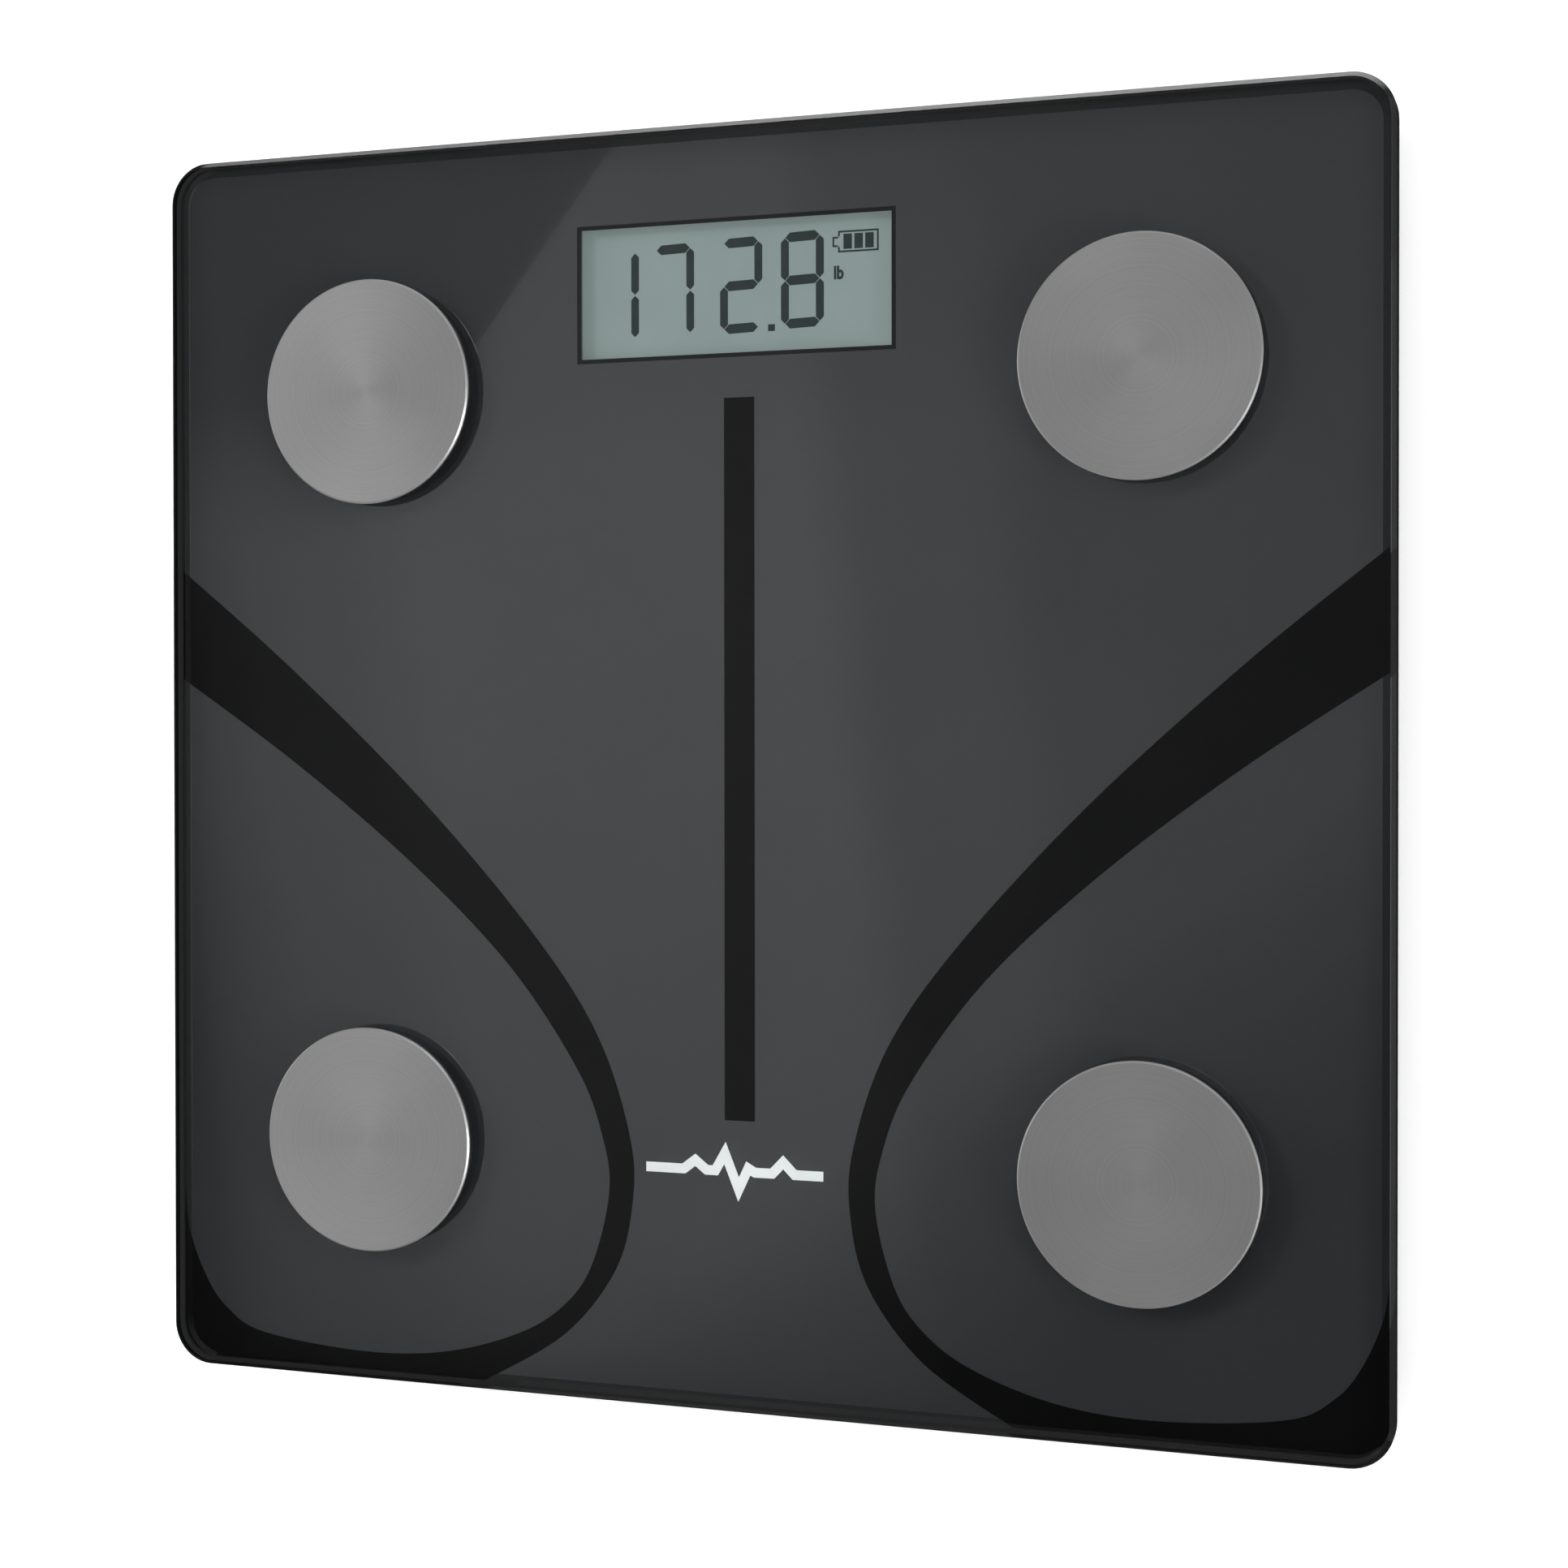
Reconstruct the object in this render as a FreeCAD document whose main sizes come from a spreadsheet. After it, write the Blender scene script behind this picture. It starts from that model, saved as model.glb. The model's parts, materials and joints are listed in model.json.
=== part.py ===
import FreeCAD, Part
import math
import os
import re

import Sketcher

# Digital bathroom scale: a square tempered-glass platform glued to a shallow plastic tray.
# Millimetres, +Z up. The feet stand on Z = 0, the display end is +Y, the heel end is -Y.

DIMENSIONS = (
    # tempered glass
    ("glass_side", 300), ("glass_corner", 10), ("glass_thick", 6), ("glass_bottom", 19.5),
    ("glass_bevel", 1.2), ("glass_under_bevel", 0.8),
    # printed film on the back of the glass, with the display window
    ("film_margin", 1.4), ("film_thick", 0.1), ("film_bottom", 19.3),
    ("window_across", -1.6), ("window_along", 112.15), ("window_wide", 78.1), ("window_deep", 31.9),
    # electrode discs, each with a stud through the glass
    ("disc_across", 94.7), ("disc_along", 91.1), ("disc_radius", 27.25), ("disc_thick", 1.0),
    ("disc_bevel", 0.4), ("disc_tape", 0.2), ("disc_tape_margin", 1.2),
    ("stud_radius", 2.0), ("stud_tip", 14.9), ("stud_hole", 3.0), ("film_hole", 3.5),
    ("nut_radius", 4.04), ("nut_bottom", 15.3), ("nut_top", 18.5), ("stud_play", 0.1),
    ("terminal_radius", 4.0), ("barrel_radius", 1.1), ("barrel_length", 6.0), ("barrel_level", 18.1),
    # base tray
    ("tray_side", 288), ("tray_corner", 12), ("tray_round", 6), ("tray_wall", 5),
    ("tray_bottom", 5), ("tray_floor", 2), ("tray_top", 18.7),
    ("rib_wide", 1.6), ("rib_top", 9.6), ("rib_pitch", 32), ("rib_start", -82), ("rib_across", 66),
    ("rib_margin", 7.5),
    ("tape_margin", 0.5),
    ("label_wide", 92), ("label_deep", 46), ("label_along", -34), ("label_sunk", 0.4),
    ("collar_wide", 2.5), ("collar_tall", 0.7), ("dish_radius", 8), ("dish_sunk", 0.5),
    ("scoop_wide", 18), ("scoop_deep", 8), ("scoop_sunk", 1.1),
    # wells that hold the load cells and the feet
    ("well_offset", 115), ("well_radius", 22.5), ("well_wall", 2.0),
    ("well_ceiling", 12), ("ceiling_thick", 2.5), ("notch_wide", 4),
    ("sensor_side", 30), ("sensor_round", 19.8), ("sensor_bottom", 9.5), ("sensor_thick", 2.5),
    ("slot_wide", 2.5), ("tongue_wide", 13), ("slot_reach", 10), ("sensor_hole", 2.4),
    ("retainer_outer", 22.3), ("retainer_inner", 18.4), ("retainer_bottom", 6.2),
    # feet
    ("foot_radius", 17.5), ("foot_bottom", 1.2), ("foot_web_top", 4), ("foot_top", 8),
    ("foot_wall", 1.6), ("foot_edge", 0.8), ("boss_radius", 5), ("spigot_radius", 2), ("spigot_top", 11.5),
    ("pad_radius", 15.4), ("pad_recess", 15.5), ("pad_top", 2.2), ("pad_edge", 0.6),
    # circuit board and display
    ("board_along", 111.5),
    ("board_wide", 120), ("board_deep", 43), ("board_bottom", 10.6), ("board_thick", 1.6),
    ("screw_across", 56.5), ("screw_along", 19), ("pillar_radius", 3), ("pilot_radius", 0.8),
    ("screw_radius", 0.75), ("screw_head", 2.0), ("screw_reach", 8.2), ("head_thick", 1.3),
    ("drive_long", 2.6), ("drive_wide", 0.5), ("drive_deep", 0.6),
    ("lcd_wide", 84), ("lcd_deep", 38), ("lcd_thick", 2.8), ("lcd_bottom", 13.4),
    ("bezel_wide", 88), ("bezel_deep", 42), ("bezel_window_wide", 78.7), ("bezel_window_deep", 32.5),
    ("strip_wide", 78), ("strip_deep", 2.4), ("strip_offset", 17),
    ("chip_radius", 6), ("chip_thick", 1.3), ("chip_across", -8),
    ("radio_wide", 12), ("radio_deep", 16), ("radio_thick", 1.4), ("radio_across", -38),
    ("socket_wide", 7), ("socket_deep", 5), ("socket_tall", 4.5), ("socket_across", 53.5),
    ("socket_toe", 124), ("socket_heel", 107),
    # unit button and its switch
    ("button_across", 30), ("button_along", 98), ("button_radius", 4), ("button_hole", 4.35),
    ("button_bottom", 5.2), ("button_flange", 5.2), ("flange_bottom", 7.1), ("flange_top", 8.2),
    ("button_dish", 0.3), ("switch_side", 6), ("switch_bottom", 8.9),
    ("plunger_radius", 1.7), ("plunger_top", 10.0), ("plunger_bore", 1.8), ("plunger_bore_top", 10.5),
    # battery bay: three AAA cells side by side under a hinged door
    ("bay_along", 45), ("bay_wide", 53), ("bay_deep", 34), ("bay_ceiling", 17.7), ("bay_wall", 1.6),
    ("ledge_wide", 68), ("ledge_start", 19.5), ("ledge_end", 69), ("ledge_top", 9.6),
    ("battery_radius", 5.25), ("battery_length", 44.5), ("battery_nub", 1.0), ("nub_radius", 2.6),
    ("battery_pitch", 11), ("battery_level", 12.3), ("contact_thick", 0.4), ("contact_side", 8),
    ("tab_reach", 30), ("tab_wide", 2), ("tab_level", 14), ("tab_play", 0.3),
    ("spring_radius", 3.6), ("spring_wire", 0.3), ("spring_turns", 5),
    ("door_wide", 58), ("door_end", 66), ("door_thick", 1.7), ("door_play", 0.35),
    ("hinge_along", 24), ("barrel", 1.8), ("barrel_play", 0.3), ("hinge_pin", 0.9), ("hinge_fit", 0.08),
    ("pin_reach", 2), ("latch_wide", 16), ("latch_length", 11), ("slit_wide", 1.0),
    ("hook_wide", 10), ("hook_deep", 2.2), ("hook_top", 8.2), ("hook_reach", 0.2), ("hook_room", 1.0),
    ("grip_tall", 0.4), ("grip_wide", 11), ("grip_deep", 0.8), ("grip_start", 3), ("grip_pitch", 1.8),
)

# Share of the shorter run that a wire's bend takes up, and how closely built shapes are held to their sizes
BEND_SHARE = 0.45
LEVEL_TOLERANCE = 0.01
SWEEP_TOLERANCE = 0.01

CORNERS = {
    "toe_left": (-1, 1),
    "toe_right": (1, 1),
    "heel_left": (-1, -1),
    "heel_right": (1, -1),
}

doc = FreeCAD.newDocument("bathroom_scale")
nodes = []


# ---------------------------------------------------------------- sizes and placing

sheet = doc.addObject("Spreadsheet::Sheet", "dims")
for row, (alias, size) in enumerate(DIMENSIONS, start=1):
    sheet.set("A%d" % row, alias)
    sheet.set("B%d" % row, str(size))
    sheet.setAlias("B%d" % row, alias)
doc.recompute()


def sized(text):
    """An expression on the sheet: every word in the text is one of its names."""
    return re.sub(r"[a-z_]{3,}", lambda word: "dims." + word.group(), text)


def value(text):
    """The number that an expression on the sheet gives."""
    return float(sheet.evalExpression(sized(text)))


def place(item, where):
    """Bind an object's position to three expressions."""
    for axis, text in zip("xyz", where):
        item.setExpression("Placement.Base." + axis, sized(text))


def turn(item, axis, angle):
    """Turn an object about its own corner, before its position is bound."""
    turned = FreeCAD.Rotation(FreeCAD.Vector(*axis), angle)
    item.Placement = FreeCAD.Placement(FreeCAD.Vector(0, 0, 0), turned)


def node(item, name):
    """Keep an object as the sub-part of this name."""
    item.Label = name
    nodes.append(item)
    return item


# ---------------------------------------------------------------- primitives and booleans

def block(name, centre, size, bottom):
    """Box centred on (x, y), standing on the height given by bottom."""
    item = doc.addObject("Part::Box", name)
    for side, text in zip(("Length", "Width", "Height"), size):
        item.setExpression(side, sized(text))
    place(item, (
        "(%s) - (%s) / 2" % (centre[0], size[0]),
        "(%s) - (%s) / 2" % (centre[1], size[1]),
        bottom,
    ))
    return item


def rod(name, radius, length, where, axis="z"):
    """Cylinder that starts at where and runs along +X or +Z."""
    item = doc.addObject("Part::Cylinder", name)
    item.setExpression("Radius", sized(radius))
    item.setExpression("Height", sized(length))
    if axis == "x":
        turn(item, (0, 1, 0), 90)
    place(item, where)
    return item


def cut(name, base, *tools):
    """Base less each tool in turn."""
    result = base
    for count, tool in enumerate(tools, start=1):
        cutter = doc.addObject("Part::Cut", "%s_cut_%d" % (name, count))
        cutter.Base = result
        cutter.Tool = tool
        result = cutter
    return result


def fuse(name, *pieces):
    result = doc.addObject("Part::MultiFuse", name)
    result.Shapes = list(pieces)
    return result


def group(name, pieces):
    """Separate identical solids that share one node."""
    result = doc.addObject("Part::Compound", name)
    result.Links = list(pieces)
    return result


# ---------------------------------------------------------------- bodies and sketches

def new_body(name):
    return doc.addObject("PartDesign::Body", name)


def new_sketch(body, name, height="0", role="XY_Plane"):
    """Sketch on one of the body's own origin planes, moved along its normal."""
    sketch = body.newObject("Sketcher::SketchObject", name)
    plane = next(feature for feature in body.Origin.OriginFeatures if feature.Role == role)
    sketch.AttachmentSupport = [(plane, "")]
    sketch.MapMode = "FlatFace"
    sketch.setExpression("AttachmentOffset.Base.z", sized(height))
    return sketch


def bind(sketch, kind, places, text):
    """Add a dimension to the sketch, bound to the sheet."""
    index = sketch.addConstraint(Sketcher.Constraint(kind, *places, value(text)))
    sketch.setExpression("Constraints[%d]" % index, sized(text))


def pin_point(sketch, geometry, point, where):
    """Fix a point of the sketch at two expressions from its origin."""
    bind(sketch, "DistanceX", (-1, 1, geometry, point), where[0])
    bind(sketch, "DistanceY", (-1, 1, geometry, point), where[1])


def add_circle(sketch, radius, centre=("0", "0")):
    middle = FreeCAD.Vector(value(centre[0]), value(centre[1]), 0)
    circle = sketch.addGeometry(Part.Circle(middle, FreeCAD.Vector(0, 0, 1), value(radius)), False)
    bind(sketch, "Radius", (circle,), radius)
    pin_point(sketch, circle, 3, centre)


def add_outline(sketch, corners):
    """Closed outline of straight lines through corners given as pairs of expressions."""
    points = [FreeCAD.Vector(value(across), value(along), 0) for across, along in corners]
    lines = []
    for start, end in zip(points, points[1:] + points[:1]):
        lines.append(sketch.addGeometry(Part.LineSegment(start, end), False))
    for line, following in zip(lines, lines[1:] + lines[:1]):
        sketch.addConstraint(Sketcher.Constraint("Coincident", line, 2, following, 1))
    for line, corner in zip(lines, corners):
        pin_point(sketch, line, 1, corner)


def add_rectangle(sketch, wide, deep, centre=("0", "0")):
    left = "(%s) - (%s) / 2" % (centre[0], wide)
    right = "(%s) + (%s) / 2" % (centre[0], wide)
    near = "(%s) - (%s) / 2" % (centre[1], deep)
    far = "(%s) + (%s) / 2" % (centre[1], deep)
    add_outline(sketch, ((left, near), (right, near), (right, far), (left, far)))


def add_rounded_square(sketch, side, corner):
    """Square about the origin with rounded corners."""
    half, radius = value(side) / 2, value(corner)
    reach = half - radius
    arcs = []
    lines = []
    for quarter, (sign_x, sign_y) in enumerate(((1, 1), (-1, 1), (-1, -1), (1, -1))):
        middle = FreeCAD.Vector(sign_x * reach, sign_y * reach, 0)
        circle = Part.Circle(middle, FreeCAD.Vector(0, 0, 1), radius)
        start = quarter * math.pi / 2
        arcs.append(sketch.addGeometry(Part.ArcOfCircle(circle, start, start + math.pi / 2), False))
    ends = (
        ((reach, half), (-reach, half)),
        ((-half, reach), (-half, -reach)),
        ((-reach, -half), (reach, -half)),
        ((half, -reach), (half, reach)),
    )
    for start, end in ends:
        segment = Part.LineSegment(FreeCAD.Vector(*start, 0), FreeCAD.Vector(*end, 0))
        lines.append(sketch.addGeometry(segment, False))
    for index, arc in enumerate(arcs):
        following = arcs[(index + 1) % len(arcs)]
        sketch.addConstraint(Sketcher.Constraint("Tangent", arc, 2, lines[index], 1))
        sketch.addConstraint(Sketcher.Constraint("Tangent", lines[index], 2, following, 1))
    for arc in arcs[1:]:
        sketch.addConstraint(Sketcher.Constraint("Equal", arcs[0], arc))
    sketch.addConstraint(Sketcher.Constraint("Horizontal", lines[0]))
    sketch.addConstraint(Sketcher.Constraint("Vertical", lines[1]))
    bind(sketch, "Radius", (arcs[0],), corner)
    pin_point(sketch, arcs[0], 3, ("%s / 2 - (%s)" % (side, corner),) * 2)
    pin_point(sketch, arcs[2], 3, ("(%s) - %s / 2" % (corner, side),) * 2)


def pad(body, sketch, length):
    feature = body.newObject("PartDesign::Pad", sketch.Name + "_pad")
    feature.Profile = sketch
    feature.setExpression("Length", sized(length))
    doc.recompute()
    return feature


def pocket(body, sketch, depth, upward=False):
    """Cut the sketch into the body, down from its plane or up from it."""
    before = body.Shape.Volume
    feature = body.newObject("PartDesign::Pocket", sketch.Name + "_pocket")
    feature.Profile = sketch
    feature.Reversed = upward
    feature.setExpression("Length", sized(depth))
    doc.recompute()
    if body.Shape.Volume >= before:
        raise RuntimeError("the pocket %s cuts nothing" % feature.Name)
    return feature


def revolve(body, sketch):
    """Turn an upright sketch once round the Z axis."""
    feature = body.newObject("PartDesign::Revolution", sketch.Name + "_turned")
    feature.Profile = sketch
    feature.ReferenceAxis = (sketch, ["V_Axis"])
    feature.Angle = 360
    doc.recompute()
    return feature


def edges_at(feature, height):
    """Names of the edges lying flat at a height."""
    names = []
    for index, edge in enumerate(feature.Shape.Edges, start=1):
        if all(abs(vertex.Z - height) < LEVEL_TOLERANCE for vertex in edge.Vertexes):
            names.append("Edge%d" % index)
    return names


def dress(body, kind, size_name, base, edges, size):
    """Round or bevel the named edges of a feature."""
    feature = body.newObject("PartDesign::" + kind, base.Name + "_" + kind.lower())
    feature.Base = (base, edges)
    feature.setExpression(size_name, sized(size))
    doc.recompute()
    return feature


def turned_body(name, corners):
    """Body of revolution about its own Z axis, from (radius, height) corners."""
    body = new_body(name)
    sketch = new_sketch(body, name + "_profile", role="XZ_Plane")
    add_outline(sketch, corners)
    revolve(body, sketch)
    return body


# ---------------------------------------------------------------- wires

def bend_radius(before, corner, after):
    """Radius of the arc that rounds a route's corner, and the turn it makes."""
    inward, outward = corner - before, after - corner
    angle = inward.getAngle(outward)
    return BEND_SHARE * min(inward.Length, outward.Length) / math.tan(angle / 2), angle


def wire_path(route):
    """Straight runs joined by tangent arcs through a list of points."""
    points = [FreeCAD.Vector(*point) for point in route]
    edges = []
    last = points[0]
    for before, corner, after in zip(points, points[1:], points[2:]):
        radius, angle = bend_radius(before, corner, after)
        trim = radius * math.tan(angle / 2)
        inward, outward = (before - corner).normalize(), (after - corner).normalize()
        start, end = corner + inward * trim, corner + outward * trim
        middle_way = (inward + outward).normalize()
        middle = corner + middle_way * (radius / math.cos(angle / 2) - radius)
        edges.append(Part.LineSegment(last, start).toShape())
        edges.append(Part.Arc(start, middle, end).toShape())
        last = end
    edges.append(Part.LineSegment(last, points[-1]).toShape())
    return Part.Wire(edges)


def lead(name, route, radius):
    """Insulated wire of round section along a route, as a Part::Feature."""
    path = wire_path(route)
    start = FreeCAD.Vector(*route[0])
    ring = Part.Wire(Part.Circle(start, FreeCAD.Vector(*route[1]) - start, radius).toShape())
    shape = path.makePipeShell([ring], True, False)
    expected = math.pi * radius ** 2 * path.Length
    if abs(shape.Volume - expected) > SWEEP_TOLERANCE * expected:
        raise RuntimeError("the sweep %s has the wrong volume" % name)
    points = [FreeCAD.Vector(*point) for point in route]
    radii = [bend_radius(*trio)[0] for trio in zip(points, points[1:], points[2:])]
    print("%s: %.0f mm long, smallest bend %.1f mm" % (name, path.Length, min(radii)))
    item = doc.addObject("Part::Feature", name)
    item.Shape = shape
    return node(item, name)


def mirrored(route, side):
    """The same route on the left side of the scale, or on the right."""
    return [(side * across, along, up) for across, along, up in route]


# ---------------------------------------------------------------- platform

def make_glass():
    body = new_body("glass_platform")
    outline = new_sketch(body, "glass_outline", "glass_bottom")
    add_rounded_square(outline, "glass_side", "glass_corner")
    slab = pad(body, outline, "glass_thick")
    top = value("glass_bottom + glass_thick")
    bevel = dress(body, "Chamfer", "Size", slab, edges_at(slab, top), "glass_bevel")
    under = edges_at(bevel, value("glass_bottom"))
    dress(body, "Chamfer", "Size", bevel, under, "glass_under_bevel")
    holes = new_sketch(body, "stud_holes", "glass_bottom")
    for side, end in CORNERS.values():
        add_circle(holes, "stud_hole", ("disc_across * %d" % side, "disc_along * %d" % end))
    pocket(body, holes, "glass_thick", upward=True)
    node(body, "glass_platform")


def make_film():
    """Back print on a thin film, with the display window and the stud holes."""
    body = new_body("printed_film")
    outline = new_sketch(body, "film_outline", "film_bottom")
    add_rounded_square(outline, "(glass_side - 2 * film_margin)", "glass_corner - film_margin")
    pad(body, outline, "film_thick")
    holes = new_sketch(body, "film_holes", "film_bottom")
    add_rectangle(holes, "window_wide", "window_deep", ("window_across", "window_along"))
    for side, end in CORNERS.values():
        add_circle(holes, "film_hole", ("disc_across * %d" % side, "disc_along * %d" % end))
    pocket(body, holes, "film_thick", upward=True)
    node(body, "printed_film")


def make_platform_tape():
    """Foam tape on the tray's rim, and a ring of it on each well."""
    body = new_body("rim_tape")
    outline = new_sketch(body, "tape_outline", "tray_top")
    add_rounded_square(outline, "(tray_side - 2 * tape_margin)", "tray_corner - tape_margin")
    pad(body, outline, "film_bottom - tray_top")
    inside = new_sketch(body, "tape_inside", "tray_top")
    rim = "(tray_wall - tape_margin)"
    add_rounded_square(inside, "(tray_side - 2 * %s)" % rim, "tray_corner - %s" % rim)
    pocket(body, inside, "film_bottom - tray_top", upward=True)
    pieces = [body]
    for name, (side, end) in CORNERS.items():
        where = ("well_offset * %d" % side, "well_offset * %d" % end, "tray_top")
        thick = "film_bottom - tray_top"
        outer = rod("well_tape_" + name, "well_radius + well_wall - tape_margin", thick, where)
        inner = rod("well_tape_hole_" + name, "well_radius - well_wall", thick, where)
        pieces.append(cut("well_tape_ring_" + name, outer, inner))
    node(group("platform_tape", pieces), "platform_tape")


def make_electrodes():
    """Turned stainless discs on adhesive rings, each stud held by a nut and a ring terminal."""
    rings = []
    nuts = []
    terminals = []
    for name, (side, end) in CORNERS.items():
        across, along = "disc_across * %d" % side, "disc_along * %d" % end
        under = "glass_bottom + glass_thick + disc_tape"
        top = under + " + disc_thick"
        disc = turned_body("electrode_" + name, (
            ("0", "stud_tip"), ("stud_radius", "stud_tip"), ("stud_radius", under),
            ("disc_radius", under), ("disc_radius", top + " - disc_bevel"),
            ("disc_radius - disc_bevel", top), ("0", top),
        ))
        place(disc, (across, along, "0"))
        node(disc, "electrode_" + name)
        seat = "glass_bottom + glass_thick"
        outer = rod("ring_" + name, "disc_radius - disc_tape_margin", "disc_tape", (across, along, seat))
        inner = rod("ring_hole_" + name, "stud_hole + disc_tape_margin", "disc_tape", (across, along, seat))
        rings.append(cut("tape_ring_" + name, outer, inner))
        nut = doc.addObject("Part::Prism", "hexagon_" + name)
        nut.Polygon = 6
        nut.setExpression("Circumradius", sized("nut_radius"))
        nut.setExpression("Height", sized("nut_top - nut_bottom"))
        place(nut, (across, along, "nut_bottom"))
        bore = rod("nut_bore_" + name, "stud_radius + stud_play", "nut_top - nut_bottom",
                   (across, along, "nut_bottom"))
        nuts.append(cut("nut_" + name, nut, bore))
        terminals.append(make_terminal(name, side, end, across, along))
    node(group("electrode_tape_rings", rings), "electrode_tape_rings")
    node(group("electrode_nuts", nuts), "electrode_nuts")
    node(group("electrode_terminals", terminals), "electrode_terminals")


def make_terminal(name, side, end, across, along):
    """Ring terminal under the film, its barrel pointing the way its wire leaves."""
    thick = "film_bottom - nut_top"
    eye = rod("eye_" + name, "terminal_radius", thick, (across, along, "nut_top"))
    hole = rod("eye_hole_" + name, "stud_radius + stud_play", thick, (across, along, "nut_top"))
    barrel = doc.addObject("Part::Cylinder", "barrel_" + name)
    barrel.setExpression("Radius", sized("barrel_radius"))
    barrel.setExpression("Height", sized("barrel_length"))
    inner = "(stud_radius + barrel_radius)"
    if end > 0:
        turn(barrel, (0, 1, 0), -90 * side)
        place(barrel, (across + " - %s * %d" % (inner, side), along, "barrel_level"))
    else:
        turn(barrel, (1, 0, 0), -90)
        place(barrel, (across, along + " + " + inner, "barrel_level"))
    nut_room = rod("barrel_room_" + name, "nut_radius + stud_play", "nut_top - barrel_level + barrel_radius",
                   (across, along, "barrel_level - barrel_radius"))
    ring = cut("eye_ring_" + name, eye, hole)
    tail = cut("barrel_tail_" + name, barrel, nut_room)
    return fuse("terminal_" + name, ring, tail)


# ---------------------------------------------------------------- base tray

def make_tray():
    body = new_body("tray_solid")
    outline = new_sketch(body, "tray_outline", "tray_bottom")
    add_rounded_square(outline, "tray_side", "tray_corner")
    slab = pad(body, outline, "tray_top - tray_bottom")
    lower_edges = edges_at(slab, value("tray_bottom"))
    dress(body, "Fillet", "Radius", slab, lower_edges, "tray_round")
    inside = new_sketch(body, "tray_inside", "tray_bottom + tray_floor")
    add_rounded_square(inside, "(tray_side - 2 * tray_wall)", "tray_corner - tray_wall")
    pocket(body, inside, "tray_top - tray_bottom - tray_floor", upward=True)
    add_ribs(body)
    add_wells(body)
    add_board_pillars(body)
    add_battery_bay(body)
    cut_underside(body)
    wells_cleared = cut("tray_notches", body, *notch_tools())
    bay_cleared = cut("tray_bay", wells_cleared, *bay_tools())
    node(bay_cleared, "base_tray")


def add_ribs(body):
    """Low stiffening ribs across the floor, under the wires."""
    ribs = new_sketch(body, "ribs_across", "tray_bottom + tray_floor")
    for count in range(4):
        along = "rib_start + rib_pitch * %d" % count
        add_rectangle(ribs, "tray_side - rib_margin", "rib_wide", ("0", along))
    pad(body, ribs, "rib_top - tray_bottom - tray_floor")
    ribs = new_sketch(body, "ribs_along", "tray_bottom + tray_floor")
    for side in (-1, 1):
        add_rectangle(ribs, "rib_wide", "tray_side - rib_margin", ("rib_across * %d" % side, "0"))
    pad(body, ribs, "rib_top - tray_bottom - tray_floor")


def add_wells(body):
    """A tower over each foot, open below for the load cell and closed by a ceiling."""
    def circles(name, height, radius):
        sketch = new_sketch(body, name, height)
        for side, end in CORNERS.values():
            add_circle(sketch, radius, ("well_offset * %d" % side, "well_offset * %d" % end))
        return sketch

    towers = circles("well_towers", "tray_bottom + tray_floor", "well_radius + well_wall")
    pad(body, towers, "tray_top - tray_bottom - tray_floor")
    collars = circles("well_collars", "tray_bottom - collar_tall", "well_radius + collar_wide")
    pad(body, collars, "collar_tall + tray_floor / 2")
    below = circles("well_below", "tray_bottom - collar_tall", "well_radius")
    pocket(body, below, "well_ceiling - tray_bottom + collar_tall", upward=True)
    above = circles("well_above", "tray_top", "well_radius - well_wall")
    pocket(body, above, "tray_top - well_ceiling - ceiling_thick")


def add_board_pillars(body):
    """Four screw pillars under the circuit board."""
    def circles(name, height, radius):
        sketch = new_sketch(body, name, height)
        for side, end in CORNERS.values():
            place_of = ("screw_across * %d" % side, "board_along + screw_along * %d" % end)
            add_circle(sketch, radius, place_of)
        return sketch

    pillars = circles("pillars", "tray_bottom + tray_floor", "pillar_radius")
    pad(body, pillars, "board_bottom - tray_bottom - tray_floor")
    pilots = circles("pilots", "board_bottom", "pilot_radius")
    pocket(body, pilots, "board_bottom - tray_bottom - tray_floor")


def add_battery_bay(body):
    ledge = new_sketch(body, "ledge", "tray_bottom + tray_floor")
    centre = ("0", "(ledge_start + ledge_end) / 2")
    add_rectangle(ledge, "ledge_wide", "(ledge_end - ledge_start)", centre)
    pad(body, ledge, "ledge_top - tray_bottom - tray_floor")
    walls = new_sketch(body, "bay_walls", "tray_bottom + tray_floor")
    add_rectangle(walls, "bay_wide + 2 * bay_wall", "bay_deep + 2 * bay_wall", ("0", "bay_along"))
    pad(body, walls, "tray_top - tray_bottom - tray_floor")
    inside = new_sketch(body, "bay_inside", "tray_bottom")
    add_rectangle(inside, "bay_wide", "bay_deep", ("0", "bay_along"))
    pocket(body, inside, "bay_ceiling - tray_bottom", upward=True)


def cut_underside(body):
    """Door recess, button hole, blank label recess and finger scoop in the tray's bottom face."""
    recess = new_sketch(body, "door_recess", "tray_bottom")
    start = "(hinge_along - barrel - barrel_play)"
    end = "(door_end + door_play)"
    middle = ("0", "(%s + %s) / 2" % (start, end))
    add_rectangle(recess, "door_wide + 2 * door_play", "%s - %s" % (end, start), middle)
    pocket(body, recess, "tray_floor", upward=True)
    button = new_sketch(body, "button_hole", "tray_bottom")
    add_circle(button, "button_hole", ("button_across", "button_along"))
    pocket(body, button, "tray_floor", upward=True)
    label = new_sketch(body, "label_recess", "tray_bottom")
    add_rectangle(label, "label_wide", "label_deep", ("0", "label_along"))
    pocket(body, label, "label_sunk", upward=True)
    dish = new_sketch(body, "button_dish_recess", "tray_bottom")
    add_circle(dish, "dish_radius", ("button_across", "button_along"))
    pocket(body, dish, "dish_sunk", upward=True)
    scoop = new_sketch(body, "finger_scoop", "tray_bottom")
    add_rectangle(scoop, "scoop_wide", "scoop_deep", ("0", "%s + scoop_deep / 2" % end))
    pocket(body, scoop, "scoop_sunk", upward=True)


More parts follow.
